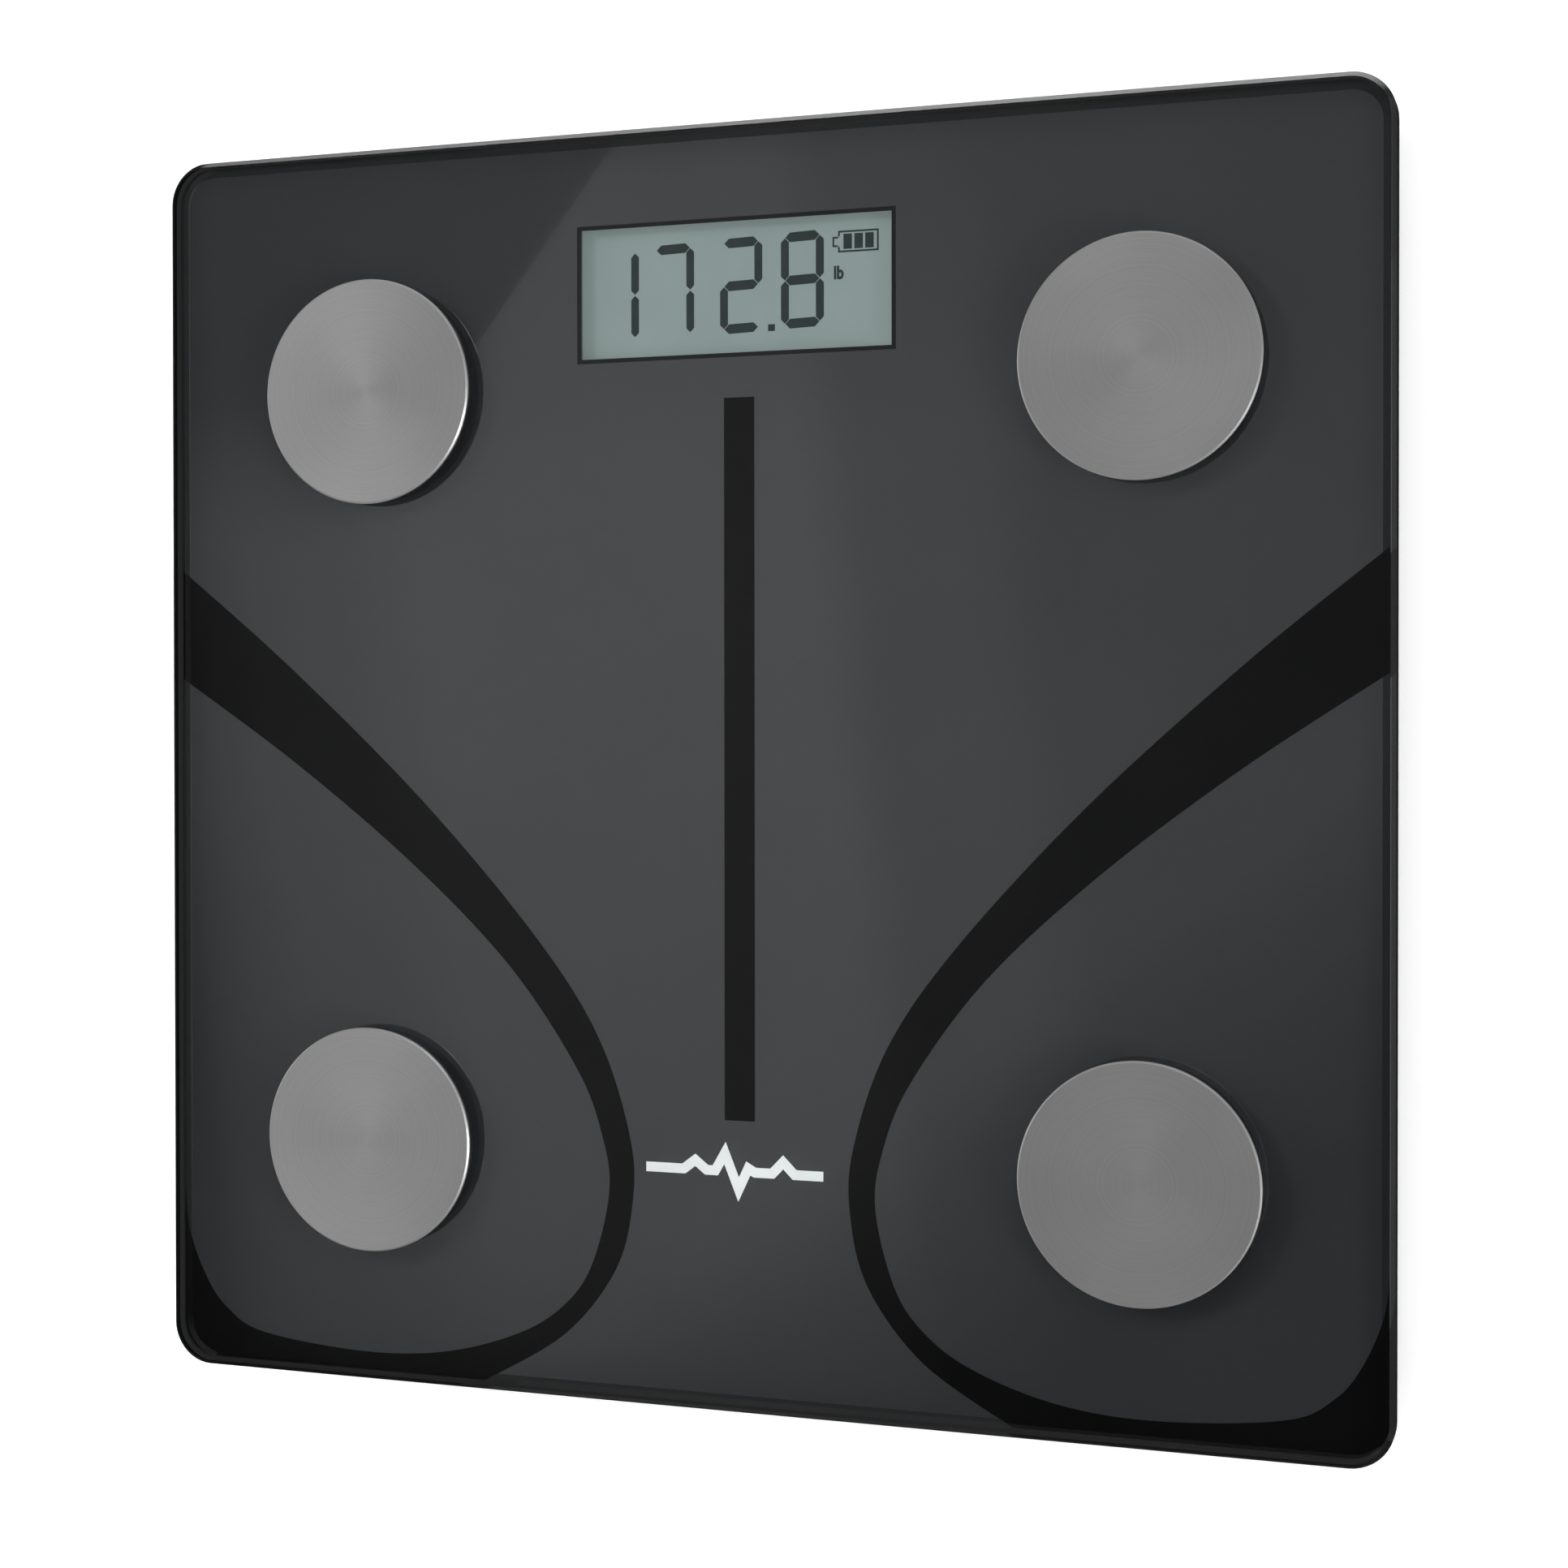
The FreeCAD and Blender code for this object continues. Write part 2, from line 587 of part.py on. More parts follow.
def notch_tools():
    """Openings in the well walls for the load-cell leads."""
    tools = []
    depth = "3 * well_wall"
    tall = "well_ceiling - tray_bottom - tray_floor"
    for name, (side, end) in CORNERS.items():
        inward = "(well_offset - well_radius)"
        if end > 0:
            centre = ("%s * %d" % (inward, side), "well_offset")
            size = (depth, "notch_wide", tall)
        else:
            centre = ("well_offset * %d" % side, "%s * -1" % inward)
            size = ("notch_wide", depth, tall)
        tools.append(block("notch_" + name, centre, size, "tray_bottom + tray_floor"))
    return tools


def bay_tools():
    """Barrel groove, hinge sockets, latch slot and tab slots of the battery bay."""
    level = "tray_bottom + barrel"
    half = "(door_wide / 2 + door_play)"
    reach = "(pin_reach + 2 * door_play)"
    groove = rod("barrel_groove", "barrel + barrel_play", "2 * " + half,
                 ("-" + half, "hinge_along", level), "x")
    sockets = rod("hinge_sockets", "hinge_pin + hinge_fit", "2 * (%s + %s)" % (half, reach),
                  ("-(%s + %s)" % (half, reach), "hinge_along", level), "x")
    hook_size = ("hook_wide + 2 * hook_room", "hook_deep + 2 * door_play",
                 "hook_top + hook_room - tray_bottom")
    hook = block("hook_slot", ("0", "door_end - hook_deep / 2"), hook_size, "tray_bottom")
    tab_size = ("3 * bay_wall", "tab_wide + 2 * tab_play", "contact_thick + 2 * tab_play")
    wall_middle = "(bay_wide + bay_wall) / 2"
    low = "tab_level - tab_play"
    plus = block("plus_slot", (wall_middle, "bay_along + battery_pitch"), tab_size, low)
    minus = block("minus_slot", ("-(%s)" % wall_middle, "bay_along - battery_pitch"), tab_size, low)
    return groove, sockets, hook, plus, minus


# ---------------------------------------------------------------- load cells and feet

def make_foot(name, side, end):
    """Load cell with its retainer in the well, and the foot that presses on its tongue."""
    centre = ("well_offset * %d" % side, "well_offset * %d" % end)
    plate = block("plate_" + name, centre, ("sensor_side", "sensor_side", "sensor_thick"), "sensor_bottom")
    round_off = rod("round_" + name, "sensor_round", "sensor_thick", (*centre, "sensor_bottom"))
    blank = doc.addObject("Part::Common", "blank_" + name)
    blank.Base = plate
    blank.Tool = round_off
    slot_centre = "(tongue_wide + slot_wide) / 2"
    slots = [
        block("slot_%d_%s" % (hand, name), ("%s + %s * %d" % (centre[0], slot_centre, hand), centre[1]),
              ("slot_wide", "2 * slot_reach", "sensor_thick"), "sensor_bottom")
        for hand in (-1, 1)
    ]
    slots.append(block("slot_end_" + name, (centre[0], centre[1] + " + slot_reach - slot_wide / 2"),
                       ("tongue_wide + 2 * slot_wide", "slot_wide", "sensor_thick"), "sensor_bottom"))
    slots.append(rod("tongue_hole_" + name, "sensor_hole", "sensor_thick", (*centre, "sensor_bottom")))
    node(cut("load_cell_" + name, blank, *slots), "load_cell_" + name)

    thick = "sensor_bottom - retainer_bottom"
    outer = rod("retainer_outer_" + name, "retainer_outer", thick, (*centre, "retainer_bottom"))
    inner = rod("retainer_inner_" + name, "retainer_inner", thick, (*centre, "retainer_bottom"))
    node(cut("load_cell_retainer_" + name, outer, inner), "load_cell_retainer_" + name)

    # the boss ends in a 45 degree cone that rocks on the lower rim of the tongue's hole
    seat_edge = "sensor_bottom + sensor_hole"
    cup = turned_body("foot_cup_" + name, (
        ("0", "pad_top"), ("pad_recess", "pad_top"), ("pad_recess", "foot_bottom"),
        ("foot_radius - foot_edge", "foot_bottom"), ("foot_radius", "foot_bottom + foot_edge"),
        ("foot_radius", "foot_top"), ("foot_radius - foot_wall", "foot_top"),
        ("foot_radius - foot_wall", "foot_web_top"), ("boss_radius", "foot_web_top"),
        ("boss_radius", seat_edge + " - boss_radius"), ("spigot_radius", seat_edge + " - spigot_radius"),
        ("spigot_radius", "spigot_top"), ("0", "spigot_top"),
    ))
    place(cup, (*centre, "0"))
    node(cup, "foot_cup_" + name)

    sole = turned_body("foot_pad_" + name, (
        ("0", "0"), ("pad_radius - pad_edge", "0"), ("pad_radius", "pad_edge"),
        ("pad_radius", "pad_top"), ("0", "pad_top"),
    ))
    place(sole, (*centre, "0"))
    node(sole, "foot_pad_" + name)


# ---------------------------------------------------------------- display and circuit board

def make_display():
    centre = ("window_across", "window_along")
    panel = block("lcd_glass", centre, ("lcd_wide", "lcd_deep", "lcd_thick"), "lcd_bottom")
    node(panel, "lcd_panel")
    tall = "film_bottom - lcd_bottom - lcd_thick"
    face = "lcd_bottom + lcd_thick"
    frame = block("bezel_block", centre, ("bezel_wide", "bezel_deep", tall), face)
    hole = block("bezel_hole", centre, ("bezel_window_wide", "bezel_window_deep", tall), face)
    node(cut("lcd_bezel", frame, hole), "lcd_bezel")
    board_top = "board_bottom + board_thick"
    strip_size = ("strip_wide", "strip_deep", "lcd_bottom - (%s)" % board_top)
    strips = [
        block("strip_%d" % hand, ("window_across", "window_along + strip_offset * %d" % hand),
              strip_size, board_top)
        for hand in (-1, 1)
    ]
    node(group("lcd_contact_strips", strips), "lcd_contact_strips")


def make_board():
    centre = ("0", "board_along")
    board = block("board_blank", centre, ("board_wide", "board_deep", "board_thick"), "board_bottom")
    holes = []
    screws = []
    top = "board_bottom + board_thick"
    for name, (side, end) in CORNERS.items():
        where = ("screw_across * %d" % side, "board_along + screw_along * %d" % end)
        holes.append(rod("board_hole_" + name, "screw_radius + stud_play", "board_thick",
                         (*where, "board_bottom")))
        shank = rod("shank_" + name, "screw_radius", top + " - screw_reach", (*where, "screw_reach"))
        head = rod("head_" + name, "screw_head", "head_thick", (*where, top))
        slot = block("drive_" + name, where, ("drive_long", "drive_wide", "drive_deep"),
                     top + " + head_thick - drive_deep")
        screws.append(cut("screw_" + name, fuse("screw_blank_" + name, shank, head), slot))
    node(cut("circuit_board", board, *holes), "circuit_board")
    node(group("board_screws", screws), "board_screws")

    chip = rod("glob", "chip_radius", "chip_thick",
               ("chip_across", "board_along", "board_bottom - chip_thick"))
    node(chip, "controller_chip")
    radio = block("radio", ("radio_across", "board_along"), ("radio_wide", "radio_deep", "radio_thick"),
                  "board_bottom - radio_thick")
    node(radio, "radio_module")

    sockets = [
        block("%s_%d" % (along, side), ("socket_across * %d" % side, along),
              ("socket_wide", "socket_deep", "socket_tall"), top)
        for side in (-1, 1) for along in ("socket_toe", "socket_heel")
    ]
    node(group("lead_sockets", sockets), "lead_sockets")


def make_button():
    """Unit button in the tray's floor, under the tact switch on the board."""
    where = ("button_across", "button_along")
    cap = turned_body("unit_button", (
        ("0", "button_bottom + button_dish"), ("button_radius - 2 * button_dish", "button_bottom"),
        ("button_radius", "button_bottom + button_dish"), ("button_radius", "flange_bottom"),
        ("button_flange", "flange_bottom"), ("button_flange", "flange_top"), ("0", "flange_top"),
    ))
    place(cap, (*where, "0"))
    node(cap, "unit_button")
    housing = block("switch_block", where, ("switch_side", "switch_side", "board_bottom - switch_bottom"),
                    "switch_bottom")
    bore = rod("switch_bore", "plunger_bore", "plunger_bore_top - switch_bottom", (*where, "switch_bottom"))
    node(cut("switch_housing", housing, bore), "switch_housing")
    plunger = rod("plunger", "plunger_radius", "plunger_top - flange_top", (*where, "flange_top"))
    node(plunger, "switch_plunger")


# ---------------------------------------------------------------- batteries and door

def make_batteries():
    """Three cells in series, each turned end for end from the one before."""
    springs = []
    plate_face = "(bay_wide / 2 - contact_thick)"
    for count, (row, pole) in enumerate(((-1, 1), (0, -1), (1, 1)), start=1):
        along = "bay_along + battery_pitch * %d" % row
        body_length = "(battery_length - battery_nub)"
        if pole > 0:
            body_start = "%s - battery_length" % plate_face
            nub_start = "%s - battery_nub" % plate_face
        else:
            body_start = "battery_length - %s - %s" % (body_length, plate_face)
            nub_start = "-" + plate_face
        can = rod("can_%d" % count, "battery_radius", body_length, (body_start, along, "battery_level"), "x")
        nub = rod("nub_%d" % count, "nub_radius", "battery_nub", (nub_start, along, "battery_level"), "x")
        node(fuse("battery_%d" % count, can, nub), "battery_%d" % count)
        springs.append(make_spring(count, pole, value(along)))
    node(group("battery_springs", springs), "battery_springs")


def make_spring(count, pole, along):
    """Coil spring between a contact plate and the flat end of a cell."""
    gap = value("bay_wide - 2 * contact_thick - battery_length")
    wire = value("spring_wire")
    pitch = (gap - 2 * wire) / value("spring_turns")
    helix = Part.makeLongHelix(pitch, gap - 2 * wire, value("spring_radius"))
    start = FreeCAD.Vector(value("spring_radius"), 0, 0)
    ring = Part.Wire(Part.Circle(start, FreeCAD.Vector(0, 1, 0), wire).toShape())
    item = doc.addObject("Part::Feature", "spring_%d" % count)
    item.Shape = Part.Wire(helix.Edges).makePipeShell([ring], True, True)
    plate = -pole * value("bay_wide / 2 - contact_thick - spring_wire")
    item.Placement = FreeCAD.Placement(
        FreeCAD.Vector(plate, along, value("battery_level")),
        FreeCAD.Rotation(FreeCAD.Vector(0, 1, 0), 90 * pole),
    )
    return item


def make_contacts():
    """Single plates with solder tabs at the ends of the series, double plates between."""
    bottom = "battery_level - contact_side / 2"
    middle = "(bay_wide - contact_thick) / 2"
    double = "battery_pitch + contact_side"
    plates = [
        block("plate_plus_link", ("-(%s)" % middle, "bay_along + battery_pitch / 2"),
              ("contact_thick", double, "contact_side"), bottom),
        block("plate_minus_link", (middle, "bay_along - battery_pitch / 2"),
              ("contact_thick", double, "contact_side"), bottom),
    ]
    for name, side in (("plus", 1), ("minus", -1)):
        along = "bay_along + battery_pitch * %d" % side
        face = block("plate_" + name, ("(%s) * %d" % (middle, side), along),
                     ("contact_thick", "contact_side", "contact_side"), bottom)
        tab_length = "tab_reach - bay_wide / 2 + contact_thick"
        tab_middle = "(tab_reach + bay_wide / 2 - contact_thick) / 2 * %d" % side
        tab = block("tab_" + name, (tab_middle, along), (tab_length, "tab_wide", "contact_thick"),
                    "tab_level")
        plates.append(fuse("terminal_plate_" + name, face, tab))
    node(group("battery_contact_plates", plates), "battery_contact_plates")


def make_door():
    """Battery door: panel, hinge barrel with pins, and a springy latch tongue with a hook."""
    level = "tray_bottom + barrel"
    panel = block("door_panel", ("0", "(hinge_along + door_end) / 2"),
                  ("door_wide", "(door_end - hinge_along)", "door_thick"), "tray_bottom")
    barrel = rod("door_barrel", "barrel", "door_wide", ("-door_wide / 2", "hinge_along", level), "x")
    pins = rod("door_pins", "hinge_pin", "door_wide + 2 * pin_reach",
               ("-door_wide / 2 - pin_reach", "hinge_along", level), "x")
    hook = block("door_hook", ("0", "door_end + hook_reach - hook_deep / 2"),
                 ("hook_wide", "hook_deep", "hook_top - tray_bottom"), "tray_bottom")
    slits = [
        block("slit_%d" % hand, ("latch_wide / 2 * %d" % hand, "door_end - latch_length / 2"),
              ("slit_wide", "latch_length + 2 * slit_wide", "3 * door_thick"), "tray_bottom - door_thick")
        for hand in (-1, 1)
    ]
    grips = [
        block("grip_%d" % count, ("0", "door_end - grip_start - grip_pitch * %d" % count),
              ("grip_wide", "grip_deep", "2 * grip_tall"), "tray_bottom - grip_tall")
        for count in range(3)
    ]
    solid = fuse("door_solid", panel, barrel, pins, hook, *grips)
    node(cut("battery_door", solid, *slits), "battery_door")


# ---------------------------------------------------------------- leads

LOAD_CELL_TOE = [(100, 115, 10.75), (85, 115, 10.75), (73, 121, 12.6), (65, 124, 13.2), (57, 124, 13.2)]
LOAD_CELL_HEEL = [
    (115, -100, 10.75), (115, -82, 10.75), (105, -30, 11.0), (81, 20, 11.0),
    (73, 66, 11.3), (71, 94, 12.6), (66, 107, 13.2), (57, 107, 13.2),
]
ELECTRODE_TOE = [(85.6, 91.1, 18.1), (80, 91.1, 18.1), (77, 104, 15.4), (67, 114, 13.2), (57, 114, 13.1)]
ELECTRODE_HEEL = [
    (94.7, -82, 18.1), (94.7, -75, 18.1), (91, -60, 13.5), (84, -36, 11.0), (62, 10, 11.0),
    (51, 46, 11.0), (50.5, 76, 13.1), (51.5, 96, 13.1),
]
BATTERY_PLUS = [(30, 56, 14.2), (36, 56, 14.2), (44, 67, 13.2), (47, 82, 13.0), (46.8, 96, 12.95)]
BATTERY_MINUS = [
    (-30, 34, 14.2), (-36, 34, 14.2), (-42, 48, 12.6), (-45, 68, 12.6), (-47, 84, 13.0), (-46.8, 96, 12.95),
]
LOAD_LEAD_RADIUS = 0.9
ELECTRODE_LEAD_RADIUS = 0.8
BATTERY_LEAD_RADIUS = 0.65


def make_leads():
    for name, (side, end) in CORNERS.items():
        from_cell = LOAD_CELL_TOE if end > 0 else LOAD_CELL_HEEL
        from_disc = ELECTRODE_TOE if end > 0 else ELECTRODE_HEEL
        lead("load_cell_lead_" + name, mirrored(from_cell, side), LOAD_LEAD_RADIUS)
        lead("electrode_lead_" + name, mirrored(from_disc, side), ELECTRODE_LEAD_RADIUS)
    lead("battery_lead_plus", BATTERY_PLUS, BATTERY_LEAD_RADIUS)
    lead("battery_lead_minus", BATTERY_MINUS, BATTERY_LEAD_RADIUS)


# ---------------------------------------------------------------- build and write

def check_document():
    """Stop if any object failed or any sub-part is empty or broken."""
    for item in doc.Objects:
        if "Invalid" in item.State or "Error" in item.State:
            raise RuntimeError("%s failed: %s" % (item.Name, item.State))
    for item in nodes:
        if item.Shape.isNull() or not item.Shape.isValid():
            raise RuntimeError("%s has no valid shape" % item.Label)


def write_nodes():
    os.makedirs("parts", exist_ok=True)
    for item in nodes:
        item.Shape.exportStep("parts/%s.step" % item.Label)
        print("%-32s %2d solids %10.1f mm3" % (item.Label, len(item.Shape.Solids), item.Shape.Volume))


make_glass()
make_film()
make_platform_tape()
make_electrodes()
make_tray()
for corner_name, (corner_side, corner_end) in CORNERS.items():
    make_foot(corner_name, corner_side, corner_end)
make_display()
make_board()
make_button()
make_batteries()
make_contacts()
make_door()
make_leads()
doc.recompute()
check_document()
write_nodes()
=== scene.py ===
"""Looks of the digital bathroom scale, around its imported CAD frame. Metres, Z up, +Y towards the display."""

import json
import math

import bmesh
import bpy
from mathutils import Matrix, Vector


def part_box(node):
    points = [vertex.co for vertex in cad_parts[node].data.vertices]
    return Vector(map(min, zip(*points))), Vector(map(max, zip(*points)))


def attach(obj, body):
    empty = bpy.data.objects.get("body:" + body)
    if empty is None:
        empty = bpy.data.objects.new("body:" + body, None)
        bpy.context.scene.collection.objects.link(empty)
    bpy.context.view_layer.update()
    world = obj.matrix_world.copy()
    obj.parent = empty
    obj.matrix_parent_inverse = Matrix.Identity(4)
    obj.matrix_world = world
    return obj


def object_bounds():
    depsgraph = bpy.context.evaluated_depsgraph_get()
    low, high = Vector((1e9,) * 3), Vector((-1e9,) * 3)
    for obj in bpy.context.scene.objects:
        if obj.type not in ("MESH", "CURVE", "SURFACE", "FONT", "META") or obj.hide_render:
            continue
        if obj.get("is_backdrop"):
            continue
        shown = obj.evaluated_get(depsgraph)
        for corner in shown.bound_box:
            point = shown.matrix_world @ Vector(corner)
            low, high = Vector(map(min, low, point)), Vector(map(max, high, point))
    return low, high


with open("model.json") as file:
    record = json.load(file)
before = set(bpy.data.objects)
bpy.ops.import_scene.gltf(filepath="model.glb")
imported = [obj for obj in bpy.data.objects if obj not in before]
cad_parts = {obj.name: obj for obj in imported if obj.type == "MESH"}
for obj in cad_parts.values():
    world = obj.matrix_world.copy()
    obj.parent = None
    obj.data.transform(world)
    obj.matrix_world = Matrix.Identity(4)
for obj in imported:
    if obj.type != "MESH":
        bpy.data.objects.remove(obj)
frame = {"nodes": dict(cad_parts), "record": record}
cad_low, cad_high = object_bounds()

MM = 0.001

# Camera, 556 mm above the glass and 201 mm to the right of its middle
CAMERA_PLACE = (0.2013, 0.0121, 0.5811)
CAMERA_TURN = (-0.605, 18.786, -0.051)
CAMERA_LENS = 58.50
CAMERA_SENSOR = 36.0
CAMERA_SHIFT = -0.02663

# Print on the back of the glass, in millimetres from the middle. The window's line covers the film's rim, and
# its dark tone is painted shade along the window's edges.
PRINT_CORNER = 8.6
PRINT_LIFT = 0.01
PRINT_THICK = 0.02
BAND_OUTER = (
    (148.6, 48.6), (118, 24), (82.5, -8), (52.7, -40), (35.9, -64),
    (27.6, -88), (27.1, -104), (31.6, -120), (44.7, -136), (65.5, -148.6),
)
BAND_INNER = (
    (148.6, -106), (147.4, -117), (143.0, -128), (136.9, -136), (126, -141.6), (97.6, -144.2), (75, -142.3),
    (55.4, -136), (43.8, -128), (37.2, -118), (33, -101), (34.7, -88), (41.3, -72), (58.9, -48),
    (84.6, -24), (116.1, 0), (148.6, 21.5),
)
BAR_WIDE = 7.5
BAR_ENDS = (-82.5, 86.4)
WINDOW_LOW = (-39.9, 96.85)
WINDOW_HIGH = (37.0, 127.45)
WINDOW_SHADE_LINE = 1.0
# Darker ring of print round the film's rim: it closes the clear margin, and its tone is painted shade along
# the glass's edge
SHADE_RIM_HALF = 149.1
SHADE_RIM_WIDE = 2.3
SHADE_RIM_LIFT = 0.002
SHADE_RIM_THICK = 0.006
MARK_PLACE = (-1.5, -94.4)
MARK_STROKE = 1.15
MARK_LINE = (
    (-22.0, 0), (-12.5, 0), (-9.6, 2.2), (-6.8, 0), (-4.6, 0), (-2.2, 4.2),
    (1.2, -4.2), (3.6, 0.9), (5.2, 0), (9.5, 0), (12.2, 2.8), (15.0, 0), (22.0, 0),
)

# Ground side of the glass, drawn as a skin just inside its wall and clear of its bevels
GLASS_CORNER = 10
EDGE_SKIN = 0.05
EDGE_ABOVE = 1.2
EDGE_BELOW = 0.8

# Display reading, in millimetres from the middle
DIGIT_LEVEL = 112.9
DIGIT_TALL = 22.3
DIGIT_WIDE = 10.5
STROKE_WIDE = 1.95
STROKE_TALL = 2.25
STROKE_GAP = 0.22
DIGIT_EDGES = {"1": -26.36, "7": -12.37, "2": 4.65, "8": 19.75}
LIT = {"1": "bc", "7": "abc", "2": "abdeg", "8": "abcdefg"}
POINT_BOX = ((6.06, 101.9), (7.76, 103.5))
UNIT_PLACE = (22.1, 113.2)
UNIT_TALL = 2.9
LETTER_SHARE = 0.70
LETTER_HEAVY = 0.16
LETTER_NARROW = 0.82
CELL_BOX = ((23.2, 119.2), (33.0, 124.2))
CELL_STROKE = 0.42
CELL_GAP = 0.75
CELL_NUB = ((21.85, 120.5), (23.2, 122.9))
CELL_BARS = (24.5, 27.15, 29.75)
CELL_BAR_WIDE = 2.05
READING_CLIMB = 0.035
CLIMB_FROM = -3
INK_LIFT = 0.02
INK_THICK = 0.03
# The display's glow is painted light, which lifts the shade in its recess
LCD_PAINTED_GLOW = 1.0

# Battery sleeve, as shares of the cell's length from its middle
COPPER_START = 0.2
BARE_START = 0.478

# Studio, with distances along the glass in millimetres
SKY_SEEN = ((0.0, 0.95), (0.12, 0.90), (0.35, 0.45), (0.70, 0.03))
SKY_MIRRORED = ((0.0, 0.25), (0.12, 0.30), (0.35, 0.40), (0.70, 0.03))
SKY_UNDER = 0.02
SKY_BEHIND = 3.0
FLOOR_HALF = 6.0
FLOOR_DROP = 0.00005
FLOOR_GLOW = (0.35, 0.95)
FLOOR_FADE = (0.6, 2.2)
CARD_LEVEL = 1.1
CARD_HALF = 190
CARD_PEAK = 0.28
CARD_ACROSS = ((-152, 0.12), (-140, 0.42), (-122, 0.68), (-96, 0.80), (-76, 1.0), (24, 1.0), (38, 0.72),
               (62, 0.70), (80, 0.52), (150, 0.45))
CARD_ALONG = ((-148, 0.30), (-138, 0.52), (-110, 0.75), (-50, 0.86), (0, 1.0), (75, 1.0), (105, 0.86),
              (140, 0.80), (150, 0.36))
CARD_CORNER = ((85, 1.0), (105, 0.65), (125, 0.40), (150, 0.10))
CUT_START = (-72, 95)
CUT_WAY = (0.787, -0.617)
CUT_DEPTH = ((55, 0.0), (90, 0.70))


# ---------------------------------------------------------------- materials

def paint(name, **sockets):
    """A material with its Principled shader's own sockets set."""
    material = bpy.data.materials.new(name)
    material.use_nodes = True
    shader = material.node_tree.nodes["Principled BSDF"]
    for socket, amount in sockets.items():
        shader.inputs[socket.replace("_", " ")].default_value = amount
    return material, shader


def add(material, kind, inputs=None, **settings):
    """A node of that kind, with its settings, and its inputs set or linked."""
    node = material.node_tree.nodes.new(kind)
    for setting, amount in settings.items():
        setattr(node, setting, amount)
    for socket, amount in (inputs or {}).items():
        if isinstance(amount, bpy.types.NodeSocket):
            material.node_tree.links.new(amount, node.inputs[socket])
        else:
            node.inputs[socket].default_value = amount
    return node


def sums(material, kind, first, second):
    """What that kind of Math node gives for two values."""
    return add(material, "ShaderNodeMath", {0: first, 1: second}, operation=kind).outputs["Value"]


def link(material, source, target):
    material.node_tree.links.new(source, target)


def place_of(material):
    """Where the shaded point is, in metres in the row frame at rest."""
    return add(material, "ShaderNodeTexCoord").outputs["Object"]


def noise(material, size, detail=3.0, rough=0.55, where=None):
    """Noise whose patches are about that many metres across."""
    texture = add(material, "ShaderNodeTexNoise", {"Scale": 1 / size, "Detail": detail, "Roughness": rough})
    link(material, where or place_of(material), texture.inputs["Vector"])
    return texture.outputs["Fac"]


def spread(material, fac, low, high, start=0.3, end=0.7):
    """Maps a texture's middle range onto low to high."""
    ranged = add(material, "ShaderNodeMapRange", {
        "Value": fac, "From Min": start, "From Max": end, "To Min": low, "To Max": high})
    return ranged.outputs["Result"]


def blend_colours(material, fac, first, second):
    mixed = add(material, "ShaderNodeMix", data_type="RGBA")
    link(material, fac, mixed.inputs["Factor"])
    for socket, colour in ((mixed.inputs["A"], first), (mixed.inputs["B"], second)):
        if isinstance(colour, bpy.types.NodeSocket):
            link(material, colour, socket)
        else:
            socket.default_value = (*colour, 1)
    return mixed.outputs["Result"]


def bump(material, shader, height, depth, strength=1.0):
    relief = add(material, "ShaderNodeBump", {"Height": height, "Distance": depth, "Strength": strength})
    link(material, relief.outputs["Normal"], shader.inputs["Normal"])
    return relief


def grained(name, first, second, patch, grain, depth, rough, **sockets):
    """A moulded, cast or printed surface: its colour wanders between two tones, and it has a fine grain."""
    material, shader = paint(name, **sockets)
    wander = spread(material, noise(material, patch, 4.0), 0, 1)
    link(material, blend_colours(material, wander, first, second), shader.inputs["Base Color"])
    fine = noise(material, grain, 2.0)
    link(material, spread(material, fine, *rough), shader.inputs["Roughness"])
    bump(material, shader, fine, depth)
    return material


def dull_print(name, first, second):
    """Dark ink with hardly any gloss under the glass."""
    return grained(name, first, second, 0.03, 0.0003, 0.000004, (0.45, 0.55), Specular_IOR_Level=0.03)


def clear_glass():
    """Tempered float glass that lets the lamps' light through."""
    material, shader = paint("tempered_glass", Roughness=0.0, IOR=1.52, Transmission_Weight=1.0,
                             Base_Color=(0.972, 0.980, 0.984, 1))
    waves = noise(material, 0.09, 1.0)
    bump(material, shader, waves, 0.00002)
    through = add(material, "ShaderNodeBsdfTransparent", {"Color": (0.93, 0.95, 0.945, 1)})
    rays = add(material, "ShaderNodeLightPath")
    mixed = add(material, "ShaderNodeMixShader", {0: rays.outputs["Is Shadow Ray"]})
    link(material, shader.outputs["BSDF"], mixed.inputs[1])
    link(material, through.outputs["BSDF"], mixed.inputs[2])
    link(material, mixed.outputs["Shader"], material.node_tree.nodes["Material Output"].inputs["Surface"])
    return material


def turned_steel():
    """Stainless steel faced off in a lathe: fine rings about the disc's own middle."""
    material, shader = paint("turned_steel", Metallic=0.88, Anisotropic=0.2)
    spot = add(material, "ShaderNodeTexCoord").outputs["Generated"]
    centred = add(material, "ShaderNodeVectorMath", {0: spot, 1: (0.5, 0.5, 0)}, operation="SUBTRACT")
    flat = add(material, "ShaderNodeVectorMath", {0: centred.outputs["Vector"], 1: (1, 1, 0)},
               operation="MULTIPLY")
    radius = add(material, "ShaderNodeVectorMath", {0: flat.outputs["Vector"]}, operation="LENGTH")
    rings = add(material, "ShaderNodeTexNoise", {
        "W": radius.outputs["Value"], "Scale": 95.0, "Detail": 5.0, "Roughness": 0.8}, noise_dimensions="1D")
    tone = spread(material, rings.outputs["Fac"], 0, 1)
    link(material, blend_colours(material, tone, (0.555, 0.555, 0.555), (0.615, 0.615, 0.615)),
         shader.inputs["Base Color"])
    link(material, spread(material, noise(material, 0.02), 0.40, 0.44), shader.inputs["Roughness"])
    bump(material, shader, rings.outputs["Fac"], 0.000012, 0.55)
    tangent = add(material, "ShaderNodeTangent", direction_type="RADIAL", axis="Z")
    link(material, tangent.outputs["Tangent"], shader.inputs["Tangent"])
    return material


